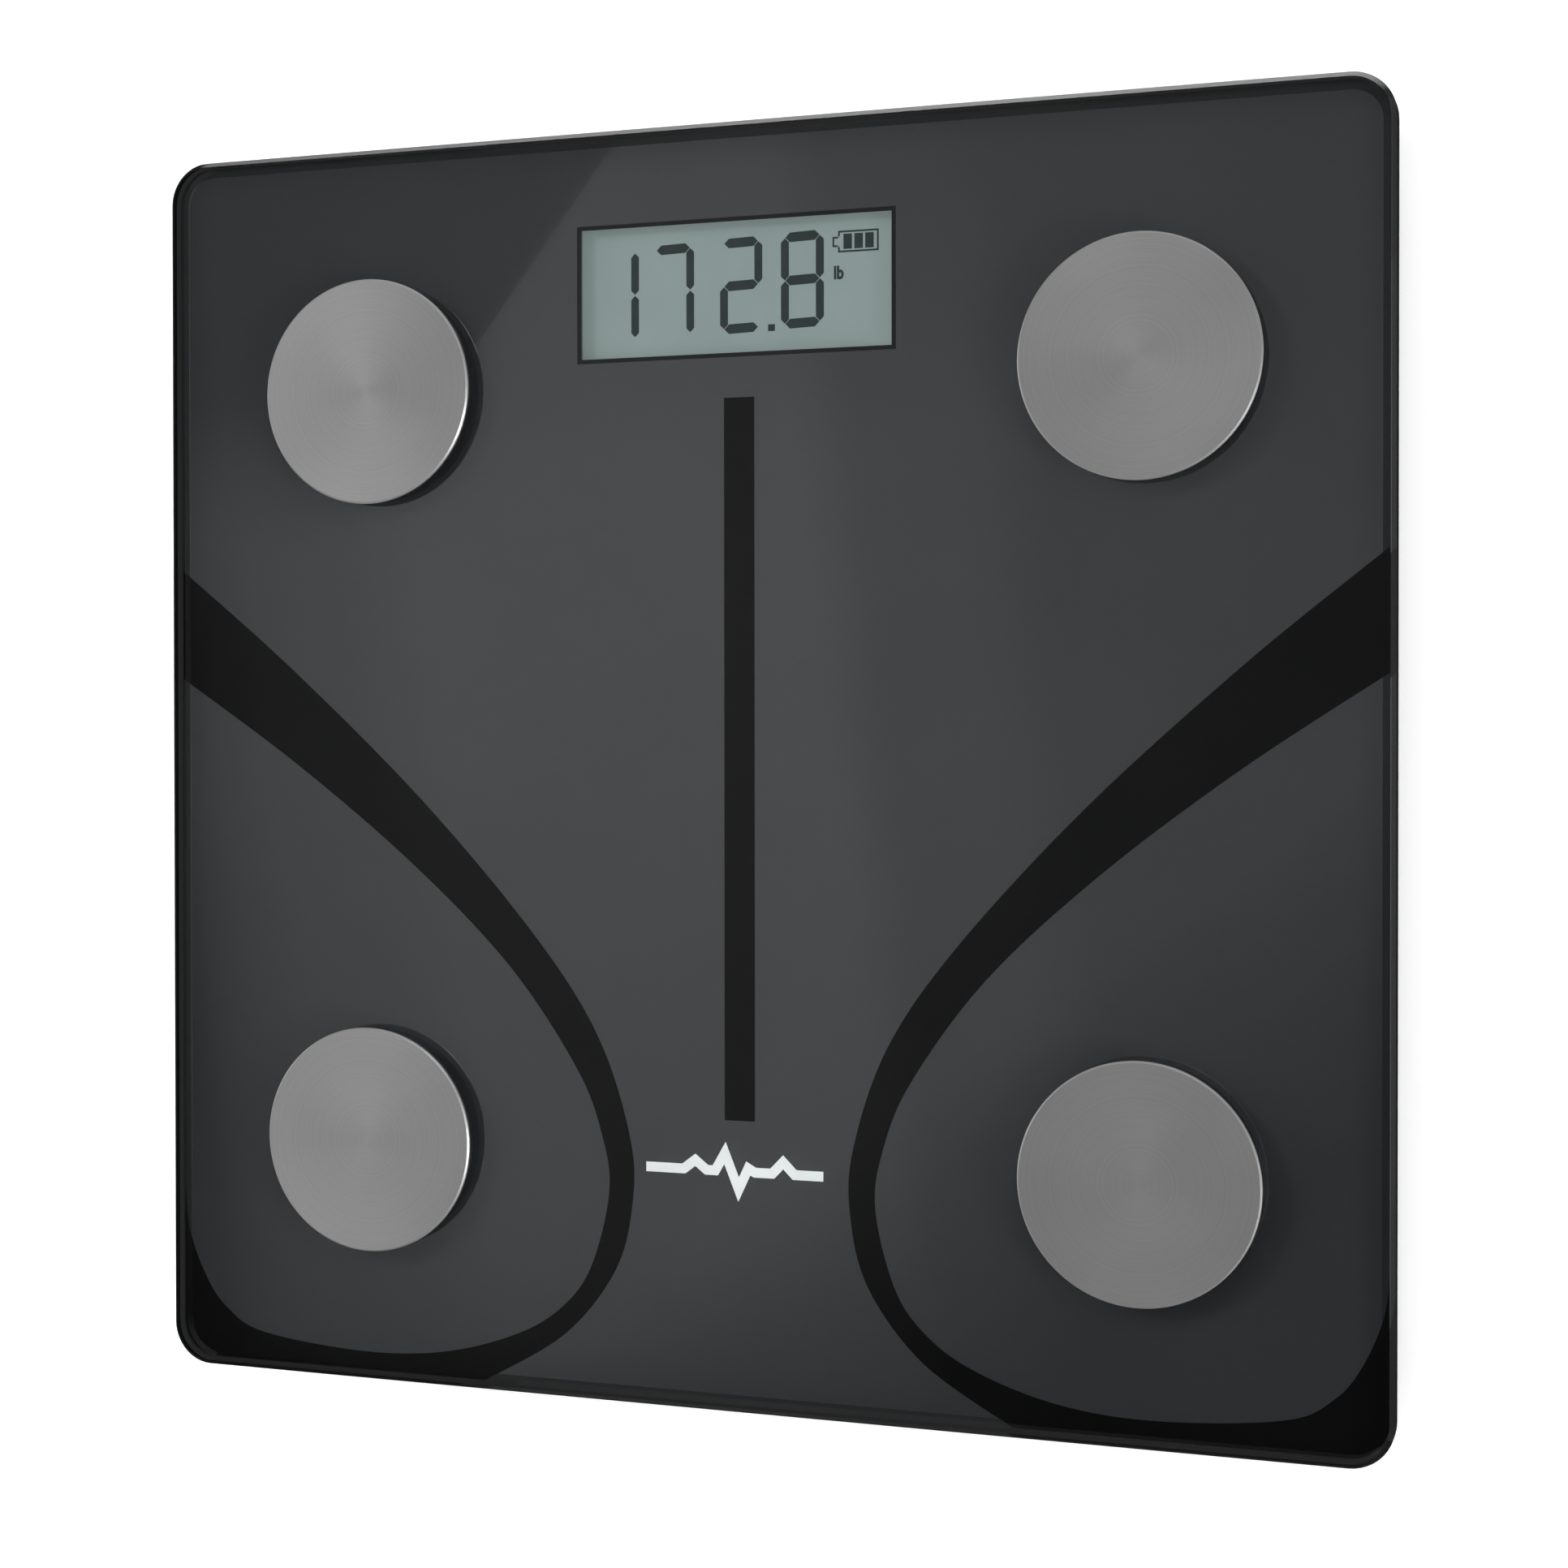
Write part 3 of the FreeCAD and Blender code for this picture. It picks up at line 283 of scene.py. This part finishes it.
def board_mask():
    """Green solder mask over copper tracks, with drilled and tinned points."""
    material, shader = paint("solder_mask", Coat_Weight=0.3)
    spot = place_of(material)
    tracks = add(material, "ShaderNodeTexBrick", {
        "Vector": spot, "Scale": 130.0, "Mortar Size": 0.018, "Brick Width": 0.9, "Row Height": 0.34,
        "Color1": (0, 0, 0, 1), "Color2": (0, 0, 0, 1), "Mortar": (1, 1, 1, 1)})
    dots = add(material, "ShaderNodeTexVoronoi", {"Vector": spot, "Scale": 240.0, "Randomness": 0.35})
    tin = sums(material, "LESS_THAN", dots.outputs["Distance"], 0.13)
    copper = blend_colours(material, tracks.outputs["Color"], (0.010, 0.095, 0.040), (0.020, 0.165, 0.070))
    link(material, blend_colours(material, tin, copper, (0.55, 0.55, 0.52)), shader.inputs["Base Color"])
    link(material, tin, shader.inputs["Metallic"])
    link(material, spread(material, noise(material, 0.002), 0.28, 0.42), shader.inputs["Roughness"])
    bump(material, shader, tracks.outputs["Fac"], 0.00003)
    return material


def cell_sleeve(name, pole):
    """Plain battery sleeve: copper-toned at the pole's end, 1 or -1 along X, black beyond, bare ends."""
    material, shader = paint(name, Coat_Weight=0.4)
    spot = add(material, "ShaderNodeTexCoord").outputs["Generated"]
    along = add(material, "ShaderNodeSeparateXYZ", {"Vector": spot}).outputs["X"]
    middle = sums(material, "SUBTRACT", along, 0.5)
    copper = sums(material, "GREATER_THAN", sums(material, "MULTIPLY", middle, pole), COPPER_START)
    bare = sums(material, "GREATER_THAN", sums(material, "ABSOLUTE", middle, 0), BARE_START)
    speck = spread(material, noise(material, 0.003), 0, 1)
    black = blend_colours(material, speck, (0.012, 0.012, 0.014), (0.030, 0.030, 0.034))
    sleeve = blend_colours(material, copper, black, (0.36, 0.17, 0.075))
    link(material, blend_colours(material, bare, sleeve, (0.62, 0.62, 0.60)), shader.inputs["Base Color"])
    link(material, sums(material, "MAXIMUM", bare, copper), shader.inputs["Metallic"])
    link(material, spread(material, noise(material, 0.001), 0.22, 0.36), shader.inputs["Roughness"])
    return material


def steel(name, first, second, rough, size):
    """Rolled or plated metal with long faint scratches."""
    material, shader = paint(name, Metallic=1.0)
    spot = place_of(material)
    drawn = add(material, "ShaderNodeMapping", {"Vector": spot, "Scale": (1.0, 0.08, 1.0)})
    scratches = noise(material, size, 4.0, 0.7, drawn.outputs["Vector"])
    link(material, blend_colours(material, spread(material, scratches, 0, 1), first, second),
         shader.inputs["Base Color"])
    link(material, spread(material, scratches, *rough), shader.inputs["Roughness"])
    bump(material, shader, scratches, 0.00001)
    return material


def display_face():
    """Reflective liquid-crystal panel: grey-green, with the faint columns of its etched electrodes. It also
    glows in its own colour, painted light that lifts the shade in its recess.
    """
    material, shader = paint("display_face", Specular_IOR_Level=0.35)
    spot = place_of(material)
    cloud = spread(material, noise(material, 0.03, 3.0), 0, 1)
    tone = blend_colours(material, cloud, (0.120, 0.150, 0.144), (0.132, 0.160, 0.156))
    lines = add(material, "ShaderNodeTexWave", {"Vector": spot, "Scale": 900.0, "Distortion": 0.0},
                wave_type="BANDS", bands_direction="X")
    faint = spread(material, lines.outputs["Fac"], 0, 0.05, 0, 1)
    etched = blend_colours(material, faint, tone, (0.11, 0.14, 0.135))
    link(material, etched, shader.inputs["Base Color"])
    link(material, etched, shader.inputs["Emission Color"])
    shader.inputs["Emission Strength"].default_value = LCD_PAINTED_GLOW
    link(material, spread(material, noise(material, 0.0006), 0.42, 0.52), shader.inputs["Roughness"])
    return material


paints = {
    "clear_glass": clear_glass(),
    "grey_print": grained("charcoal_print", (0.0225, 0.0228, 0.0245), (0.0255, 0.0258, 0.0275), 0.05,
                          0.0003, 0.0000002, (0.035, 0.05), IOR=2.2),
    "band_print": dull_print("black_print", (0.0010, 0.0010, 0.0010), (0.0018, 0.0018, 0.0018)),
    "ground_edge": grained("ground_edge", (0.0040, 0.0044, 0.0044), (0.0070, 0.0076, 0.0074), 0.004,
                           0.0004, 0.00002, (0.65, 0.85), Specular_IOR_Level=0.0),
    "white_print": grained("white_print", (0.78, 0.79, 0.79), (0.86, 0.86, 0.86), 0.01,
                           0.0003, 0.000004, (0.5, 0.6)),
    "foam_tape": grained("foam_tape", (0.010, 0.010, 0.010), (0.030, 0.030, 0.031), 0.004,
                         0.0005, 0.0001, (0.8, 0.95)),
    "brushed_stainless": turned_steel(),
    "plated_steel": steel("plated_steel", (0.60, 0.59, 0.56), (0.72, 0.71, 0.69), (0.16, 0.28), 0.0012),
    "cell_steel": steel("cell_steel", (0.40, 0.40, 0.39), (0.52, 0.52, 0.51), (0.30, 0.45), 0.0008),
    "black_abs": grained("black_abs", (0.018, 0.018, 0.020), (0.027, 0.027, 0.029), 0.03,
                         0.0006, 0.00004, (0.42, 0.62), Specular_IOR_Level=0.45),
    "dark_plastic": grained("dark_plastic", (0.030, 0.048, 0.044), (0.040, 0.060, 0.055), 0.02,
                            0.0004, 0.00001, (0.35, 0.5)),
    "lcd_grey": display_face(),
    "lcd_ink": grained("display_ink", (0.016, 0.026, 0.025), (0.022, 0.032, 0.031), 0.004,
                       0.0002, 0.000002, (0.4, 0.5), Specular_IOR_Level=0.2),
    "soft_rubber": grained("soft_rubber", (0.022, 0.022, 0.022), (0.036, 0.036, 0.036), 0.006,
                           0.0004, 0.00005, (0.70, 0.88)),
    "board_green": board_mask(),
    "chip_black": grained("epoxy_black", (0.010, 0.010, 0.010), (0.020, 0.020, 0.021), 0.002,
                          0.0002, 0.00001, (0.35, 0.55)),
    "white_nylon": grained("natural_nylon", (0.66, 0.64, 0.58), (0.76, 0.75, 0.70), 0.004,
                           0.0003, 0.00001, (0.40, 0.55), Subsurface_Weight=0.05),
    "battery_wrap": cell_sleeve("cell_sleeve", 1),
    "wire_red": grained("red_insulation", (0.36, 0.018, 0.015), (0.48, 0.030, 0.025), 0.004,
                        0.0003, 0.00001, (0.30, 0.42)),
    "wire_black": grained("black_insulation", (0.012, 0.012, 0.012), (0.024, 0.024, 0.024), 0.004,
                          0.0003, 0.00001, (0.30, 0.42)),
}

for part in frame["record"]["subparts"]:
    node = frame["nodes"][part["node"]]
    node.data.materials.clear()
    node.data.materials.append(paints[part["material_slot"]])
frame["nodes"]["battery_2"].data.materials[0] = cell_sleeve("turned_cell_sleeve", -1)


# ---------------------------------------------------------------- flat pieces

def smooth(points, steps=8):
    """Points along a smooth line through these ones (Catmull-Rom)."""
    ends = [points[0], *points, points[-1]]
    line = []
    for a, b, c, d in zip(ends, ends[1:], ends[2:], ends[3:]):
        for step in range(steps):
            t = step / steps
            line.append(tuple(
                0.5 * (2 * q + (r - p) * t + (2 * p - 5 * q + 4 * r - s) * t ** 2
                       + (3 * q - p - 3 * r + s) * t ** 3)
                for p, q, r, s in zip(a, b, c, d)))
    line.append(points[-1])
    return line


def top_piece(name, mesh, slot, place=(0, 0, 0)):
    """A piece of that mesh, in that slot's finish, which rides on the platform."""
    piece = bpy.data.objects.new(name, mesh)
    piece.location = place
    bpy.context.scene.collection.objects.link(piece)
    mesh.materials.clear()
    mesh.materials.append(paints[slot])
    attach(piece, "platform")
    return piece


def plates(name, outlines, bottom, thick, slot):
    """Thin flat plates with these outlines in millimetres, as one piece from bottom up, in metres."""
    shape = bmesh.new()
    for outline in outlines:
        base = [shape.verts.new((x * MM, y * MM, bottom)) for x, y in outline]
        face = shape.faces.new(base)
        face.normal_update()
        if face.normal.z < 0:
            face.normal_flip()
        raised = bmesh.ops.extrude_face_region(shape, geom=[face])["geom"]
        top = [v for v in raised if isinstance(v, bmesh.types.BMVert)]
        bmesh.ops.translate(shape, verts=top, vec=(0, 0, thick))
    bmesh.ops.recalc_face_normals(shape, faces=shape.faces)
    bmesh.ops.triangulate(shape, faces=[f for f in shape.faces if len(f.verts) > 4])
    mesh = bpy.data.meshes.new(name)
    shape.to_mesh(mesh)
    shape.free()
    return top_piece(name, mesh, slot)


def box_outline(low, high):
    return [low, (high[0], low[1]), high, (low[0], high[1])]


def stroke_outline(line, half):
    """The outline of a line of that half width, mitred at its corners."""
    left, right = [], []
    for spot, before, after in zip(line, [None, *line], [*line[1:], None]):
        here = Vector(spot)
        ways = [(Vector(b) - Vector(a)).normalized() for a, b in ((before, spot), (spot, after)) if a and b]
        way = sum(ways, Vector((0, 0))).normalized()
        side = Vector((-way.y, way.x))
        square = Vector((-ways[0].y, ways[0].x))
        reach = half / max(side.dot(square), 0.35)
        left.append(tuple(here + side * reach))
        right.append(tuple(here - side * reach))
    return left + right[::-1]


film_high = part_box("printed_film")[1]
glass_low, glass_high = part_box("glass_platform")
film_edge = film_high.x / MM
print_level = film_high.z + PRINT_LIFT * MM


def band_outline(side):
    """One band: in from the side edge, round to the bottom edge, and back up inside it as a second curve."""
    centre = film_edge - PRINT_CORNER
    corner = [
        (centre + PRINT_CORNER * math.sin(turn), -centre - PRINT_CORNER * math.cos(turn))
        for turn in (math.radians(15 * step) for step in range(7))
    ]
    outline = smooth(BAND_OUTER) + corner + smooth(BAND_INNER)
    return [(x * side, y) for x, y in outline]


for hand, side in (("left", -1), ("right", 1)):
    plates("print_band_" + hand, [band_outline(side)], print_level, PRINT_THICK * MM, "band_print")
plates("print_bar", [box_outline((-BAR_WIDE / 2, BAR_ENDS[0]), (BAR_WIDE / 2, BAR_ENDS[1]))],
       print_level, PRINT_THICK * MM, "band_print")
# Dark line round the window: it covers the film's cut rim, and its tone is painted shade along the window's
# edges
edge_low = (WINDOW_LOW[0] - WINDOW_SHADE_LINE, WINDOW_LOW[1] - WINDOW_SHADE_LINE)
edge_high = (WINDOW_HIGH[0] + WINDOW_SHADE_LINE, WINDOW_HIGH[1] + WINDOW_SHADE_LINE)
window_shade_line = plates("print_window_shade_line", [
    box_outline(edge_low, (edge_high[0], WINDOW_LOW[1])),
    box_outline((edge_low[0], WINDOW_HIGH[1]), edge_high),
    box_outline((edge_low[0], WINDOW_LOW[1]), (WINDOW_LOW[0], WINDOW_HIGH[1])),
    box_outline((WINDOW_HIGH[0], WINDOW_LOW[1]), (edge_high[0], WINDOW_HIGH[1])),
], print_level, PRINT_THICK * MM, "band_print")
window_shade_line.data.materials[0] = dull_print("window_shade_print", (0.0085, 0.0085, 0.0090), (0.0105, 0.0105, 0.0110))
mark_line = [(x + MARK_PLACE[0], y + MARK_PLACE[1]) for x, y in MARK_LINE]
plates("print_mark", [stroke_outline(mark_line, MARK_STROKE)], print_level, PRINT_THICK * MM, "white_print")


def round_square(half, corner, steps=8):
    """The outline of a square with round corners, in millimetres, anticlockwise."""
    outline = []
    for quarter in range(4):
        turn = quarter * math.pi / 2
        middle = half - corner
        x = middle * (math.cos(turn) - math.sin(turn))
        y = middle * (math.sin(turn) + math.cos(turn))
        for step in range(steps + 1):
            angle = turn + math.pi / 2 * step / steps
            outline.append((x + corner * math.cos(angle), y + corner * math.sin(angle)))
    return outline


def wall(name, half, corner, thick, bottom, top, slot):
    """A thin closed wall that runs round inside a square with round corners."""
    shape = bmesh.new()
    rings = []
    for inset, level in ((0, bottom), (0, top), (thick, top), (thick, bottom)):
        outline = round_square(half - inset, corner - inset)
        rings.append([shape.verts.new((x * MM, y * MM, level)) for x, y in outline])
    for ring, other in zip(rings, rings[1:] + rings[:1]):
        for first, second, third, fourth in zip(ring, ring[1:] + ring[:1], other[1:] + other[:1], other):
            shape.faces.new((first, second, third, fourth))
    bmesh.ops.recalc_face_normals(shape, faces=shape.faces)
    mesh = bpy.data.meshes.new(name)
    shape.to_mesh(mesh)
    shape.free()
    return top_piece(name, mesh, slot)


wall("ground_edge", glass_high.x / MM - EDGE_SKIN, GLASS_CORNER - EDGE_SKIN, EDGE_SKIN,
     glass_low.z + EDGE_BELOW * MM, glass_high.z - EDGE_ABOVE * MM, "ground_edge")
# Darker ring of print round the film's rim, whose tone is painted shade along the glass's edge
shade_rim = wall("painted_shade_rim", SHADE_RIM_HALF, GLASS_CORNER - glass_high.x / MM + SHADE_RIM_HALF, SHADE_RIM_WIDE,
              film_high.z + SHADE_RIM_LIFT * MM, film_high.z + (SHADE_RIM_LIFT + SHADE_RIM_THICK) * MM, "band_print")
shade_rim.data.materials[0] = dull_print("painted_shade_rim_ink", (0.0170, 0.0172, 0.0180), (0.0190, 0.0192, 0.0200))


# ---------------------------------------------------------------- display reading

def segment(middle, long, wide, upright):
    """A segment with pointed ends."""
    x, y = middle
    half, side = long / 2, wide / 2
    points = [(-half, 0), (side - half, side), (half - side, side), (half, 0), (half - side, -side),
              (side - half, -side)]
    return [(x + b, y + a) if upright else (x + a, y + b) for a, b in points]


def digit(figure):
    """The lit segments of one figure, a to g, raised as far as the reading has climbed there."""
    right = DIGIT_EDGES[figure] - STROKE_WIDE / 2
    left = right - DIGIT_WIDE + STROKE_WIDE
    top = DIGIT_LEVEL + DIGIT_TALL / 2 - STROKE_TALL / 2
    bottom = DIGIT_LEVEL - DIGIT_TALL / 2 + STROKE_TALL / 2
    across = right - left - STROKE_GAP
    tall = top - DIGIT_LEVEL - STROKE_GAP
    centre = (left + right) / 2
    upper, lower = (top + DIGIT_LEVEL) / 2, (bottom + DIGIT_LEVEL) / 2
    known = {
        "a": ((centre, top), across, STROKE_TALL, False),
        "b": ((right, upper), tall, STROKE_WIDE, True),
        "c": ((right, lower), tall, STROKE_WIDE, True),
        "d": ((centre, bottom), across, STROKE_TALL, False),
        "e": ((left, lower), tall, STROKE_WIDE, True),
        "f": ((left, upper), tall, STROKE_WIDE, True),
        "g": ((centre, DIGIT_LEVEL), across, STROKE_TALL, False),
    }
    flat = [segment(*known[name]) for name in LIT[figure]]
    return [[(x, y + READING_CLIMB * (x - CLIMB_FROM)) for x, y in outline] for outline in flat]


ink_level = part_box("lcd_panel")[1].z + INK_LIFT * MM
reading = [outline for figure in DIGIT_EDGES for outline in digit(figure)]
plates("display_digits", reading + [box_outline(*POINT_BOX)], ink_level, INK_THICK * MM, "lcd_ink")

(cell_left, cell_bottom), (cell_right, cell_top) = CELL_BOX
bars_low, bars_high = cell_bottom + CELL_GAP, cell_top - CELL_GAP
icon = [box_outline((x, bars_low), (x + CELL_BAR_WIDE, bars_high)) for x in CELL_BARS]
(nub_left, nub_bottom), (nub_right, nub_top) = CELL_NUB
for low, high in (
    ((cell_left, cell_bottom), (cell_right, cell_bottom + CELL_STROKE)),
    ((cell_left, cell_top - CELL_STROKE), (cell_right, cell_top)),
    ((cell_right - CELL_STROKE, cell_bottom + CELL_STROKE), (cell_right, cell_top - CELL_STROKE)),
    ((cell_left, cell_bottom + CELL_STROKE), (cell_left + CELL_STROKE, nub_bottom)),
    ((cell_left, nub_top), (cell_left + CELL_STROKE, cell_top - CELL_STROKE)),
    ((nub_left, nub_bottom), (nub_right, nub_bottom + CELL_STROKE)),
    ((nub_left, nub_top - CELL_STROKE), (nub_right, nub_top)),
    ((nub_left, nub_bottom + CELL_STROKE), (nub_left + CELL_STROKE, nub_top - CELL_STROKE)),
):
    icon.append(box_outline(low, high))
plates("display_cell_icon", icon, ink_level, INK_THICK * MM, "lcd_ink")

letters = bpy.data.curves.new("display_unit", "FONT")
letters.body = "lb"
letters.size = UNIT_TALL * MM / LETTER_SHARE
letters.offset = LETTER_HEAVY * MM
letters.extrude = INK_THICK * MM / 2
written = bpy.data.objects.new("unit_outline", letters)
bpy.context.scene.collection.objects.link(written)
bpy.context.view_layer.update()
unit_mesh = bpy.data.meshes.new_from_object(written.evaluated_get(bpy.context.evaluated_depsgraph_get()))
bpy.data.objects.remove(written)
for vertex in unit_mesh.vertices:
    vertex.co.x *= LETTER_NARROW
top_piece("display_unit", unit_mesh, "lcd_ink",
          (UNIT_PLACE[0] * MM, UNIT_PLACE[1] * MM, ink_level + INK_THICK * MM / 2))


# ---------------------------------------------------------------- stage

def pale_floor():
    """Pale paper floor, see-through from below."""
    material, shader = paint("pale_floor", Roughness=0.9, Specular_IOR_Level=0.1)
    tone = spread(material, noise(material, 0.4, 2.0), 0, 1)
    link(material, blend_colours(material, tone, (0.88, 0.88, 0.88), (0.90, 0.90, 0.90)),
         shader.inputs["Base Color"])
    shader.inputs["Emission Color"].default_value = (1, 1, 1, 1)
    away = add(material, "ShaderNodeVectorMath", {0: place_of(material)}, operation="LENGTH").outputs["Value"]
    link(material, spread(material, away, *FLOOR_GLOW, *FLOOR_FADE), shader.inputs["Emission Strength"])
    below = add(material, "ShaderNodeNewGeometry").outputs["Backfacing"]
    clear = add(material, "ShaderNodeBsdfTransparent")
    mixed = add(material, "ShaderNodeMixShader", {0: below})
    link(material, shader.outputs["BSDF"], mixed.inputs[1])
    link(material, clear.outputs["BSDF"], mixed.inputs[2])
    link(material, mixed.outputs["Shader"], material.node_tree.nodes["Material Output"].inputs["Surface"])
    return material


def flat_square(half):
    """The corners of a flat square."""
    return [(x, y, 0) for x, y in box_outline((-half, -half), (half, half))]


floor_mesh = bpy.data.meshes.new("floor")
floor_mesh.from_pydata(flat_square(FLOOR_HALF), [], [(0, 1, 2, 3)])
floor = bpy.data.objects.new("floor", floor_mesh)
floor.data.materials.append(pale_floor())
floor.location.z = cad_low.z - FLOOR_DROP
for ray in ("diffuse", "glossy", "transmission"):
    setattr(floor, "visible_" + ray, False)
bpy.context.scene.collection.objects.link(floor)
floor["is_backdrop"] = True

world = bpy.data.worlds.new("studio")
bpy.context.scene.world = world
world.use_nodes = True
sky = world.node_tree.nodes["Background"]
sky_way = add(world, "ShaderNodeTexCoord").outputs["Generated"]
sky_split = add(world, "ShaderNodeSeparateXYZ", {"Vector": sky_way})


def sky_ramp(stops):
    """A grey that follows how high a direction points."""
    shades = add(world, "ShaderNodeValToRGB", {"Fac": sky_split.outputs["Z"]})
    marks = shades.color_ramp.elements
    for mark, (rise, tone) in zip((marks[0], marks[1]), (stops[0], stops[-1])):
        mark.position, mark.color = rise, (tone, tone, tone, 1)
    for rise, tone in stops[1:-1]:
        marks.new(rise).color = (tone, tone, tone, 1)
    return shades.outputs["Color"]


# Reflections see a dimmer room than the camera does, dark below the horizon but for a glow behind the scale
rays = add(world, "ShaderNodeLightPath")
mirrored = sums(world, "MAXIMUM", rays.outputs["Is Glossy Ray"], rays.outputs["Is Transmission Ray"])
under = sums(world, "LESS_THAN", sky_split.outputs["Z"], 0.0)
behind = add(world, "ShaderNodeMapRange", {
    "Value": sky_split.outputs["Y"], "From Min": 0.75, "From Max": 0.95, "To Min": SKY_UNDER,
    "To Max": SKY_BEHIND}).outputs["Result"]
room = blend_colours(world, under, sky_ramp(SKY_MIRRORED), behind)
link(world, blend_colours(world, mirrored, sky_ramp(SKY_SEEN), room), sky.inputs["Color"])


def lamp(name, place, size, power, glossy=False):
    """A square soft lamp aimed at the scale."""
    light = bpy.data.lights.new(name, "AREA")
    light.shape = "SQUARE"
    light.size = size
    light.energy = power
    holder = bpy.data.objects.new(name, light)
    holder.location = place
    holder.rotation_euler = (-Vector(place)).to_track_quat("-Z", "Y").to_euler()
    holder.visible_glossy = glossy
    holder.visible_transmission = False
    bpy.context.scene.collection.objects.link(holder)
    return holder


lamp("key_lamp", (-1.10, 0.62, 1.50), 0.42, 17)
lamp("top_lamp", (0.1, -0.1, 2.2), 2.2, 23)
lamp("rim_lamp", (1.35, -0.50, 0.90), 0.5, 10, glossy=True)
lamp("left_lamp", (-1.9, 0.20, 1.0), 1.0, 10, glossy=True)
lamp("far_lamp", (0.35, 1.0, 1.13), 0.5, 4.5, glossy=True)
lamp("near_lamp", (-1.4, -0.8, 1.0), 0.5, 2.0, glossy=True)

# Card whose mirror image in the print gives its broad sheen. Its own millimetres are those of the glass, seen
# from the camera's place.
CARD_RISE = CARD_LEVEL / (CAMERA_PLACE[2] - glass_high.z)


def ramp_of(material, amount, stops):
    """A value that follows these stops, each a position in millimetres and a share of one."""
    first, last = stops[0][0], stops[-1][0]
    even = add(material, "ShaderNodeMapRange", {"Value": amount, "From Min": first, "From Max": last})
    band = add(material, "ShaderNodeValToRGB", {"Fac": even.outputs["Result"]})
    marks = band.color_ramp.elements
    for mark, (spot, share) in zip((marks[0], marks[1]), (stops[0], stops[-1])):
        mark.position, mark.color = (spot - first) / (last - first), (share, share, share, 1)
    for spot, share in stops[1:-1]:
        marks.new((spot - first) / (last - first)).color = (share, share, share, 1)
    return band.outputs["Color"]


def toward(material, spot, way, start=(0, 0)):
    """How far a spot is past the start along that way."""
    gap = add(material, "ShaderNodeVectorMath", {0: spot, 1: (*start, 0)}, operation="SUBTRACT")
    dot = add(material, "ShaderNodeVectorMath", {0: gap.outputs["Vector"], 1: (*way, 0)},
              operation="DOT_PRODUCT")
    return dot.outputs["Value"]


def card_glow():
    """Light, broad in the middle, weaker to the right and lower right, and cut off at the upper left."""
    material, shader = paint("card_glow", Base_Color=(0, 0, 0, 1), Specular_IOR_Level=0)
    spot = place_of(material)
    across = ramp_of(material, toward(material, spot, (1, 0.12)), CARD_ACROSS)
    along = ramp_of(material, toward(material, spot, (0, 1)), CARD_ALONG)
    corner = ramp_of(material, toward(material, spot, (0.6, -0.8)), CARD_CORNER)
    behind = toward(material, spot, CUT_WAY, CUT_START)
    cut = sums(material, "LESS_THAN", behind, 0.0)
    depth = sums(material, "MULTIPLY", cut, ramp_of(material, toward(material, spot, (0, 1)), CUT_DEPTH))
    share = sums(material, "SUBTRACT", 1.0, depth)
    for part_share in (across, along, corner, CARD_PEAK):
        share = sums(material, "MULTIPLY", share, part_share)
    link(material, share, shader.inputs["Emission Strength"])
    shader.inputs["Emission Color"].default_value = (1, 1, 1, 1)
    return material


card_mesh = bpy.data.meshes.new("card")
card_mesh.from_pydata(flat_square(CARD_HALF), [], [(0, 1, 2, 3)])
card = bpy.data.objects.new("card", card_mesh)
card.location = (-CAMERA_PLACE[0] * CARD_RISE, -CAMERA_PLACE[1] * CARD_RISE, glass_high.z + CARD_LEVEL)
card.scale = [MM * (1 + CARD_RISE)] * 3
card.data.materials.append(card_glow())
bpy.context.scene.collection.objects.link(card)
for ray in ("camera", "diffuse", "glossy", "shadow"):
    setattr(card, "visible_" + ray, False)
card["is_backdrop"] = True

view = bpy.data.cameras.new("camera")
view.lens = CAMERA_LENS
view.sensor_width = CAMERA_SENSOR
view.shift_y = CAMERA_SHIFT
camera = bpy.data.objects.new("camera", view)
camera.location = CAMERA_PLACE
camera.rotation_euler = [math.radians(turn) for turn in CAMERA_TURN]
bpy.context.scene.collection.objects.link(camera)
bpy.context.scene.camera = camera
bpy.context.scene.view_settings.view_transform = "Standard"

low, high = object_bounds()
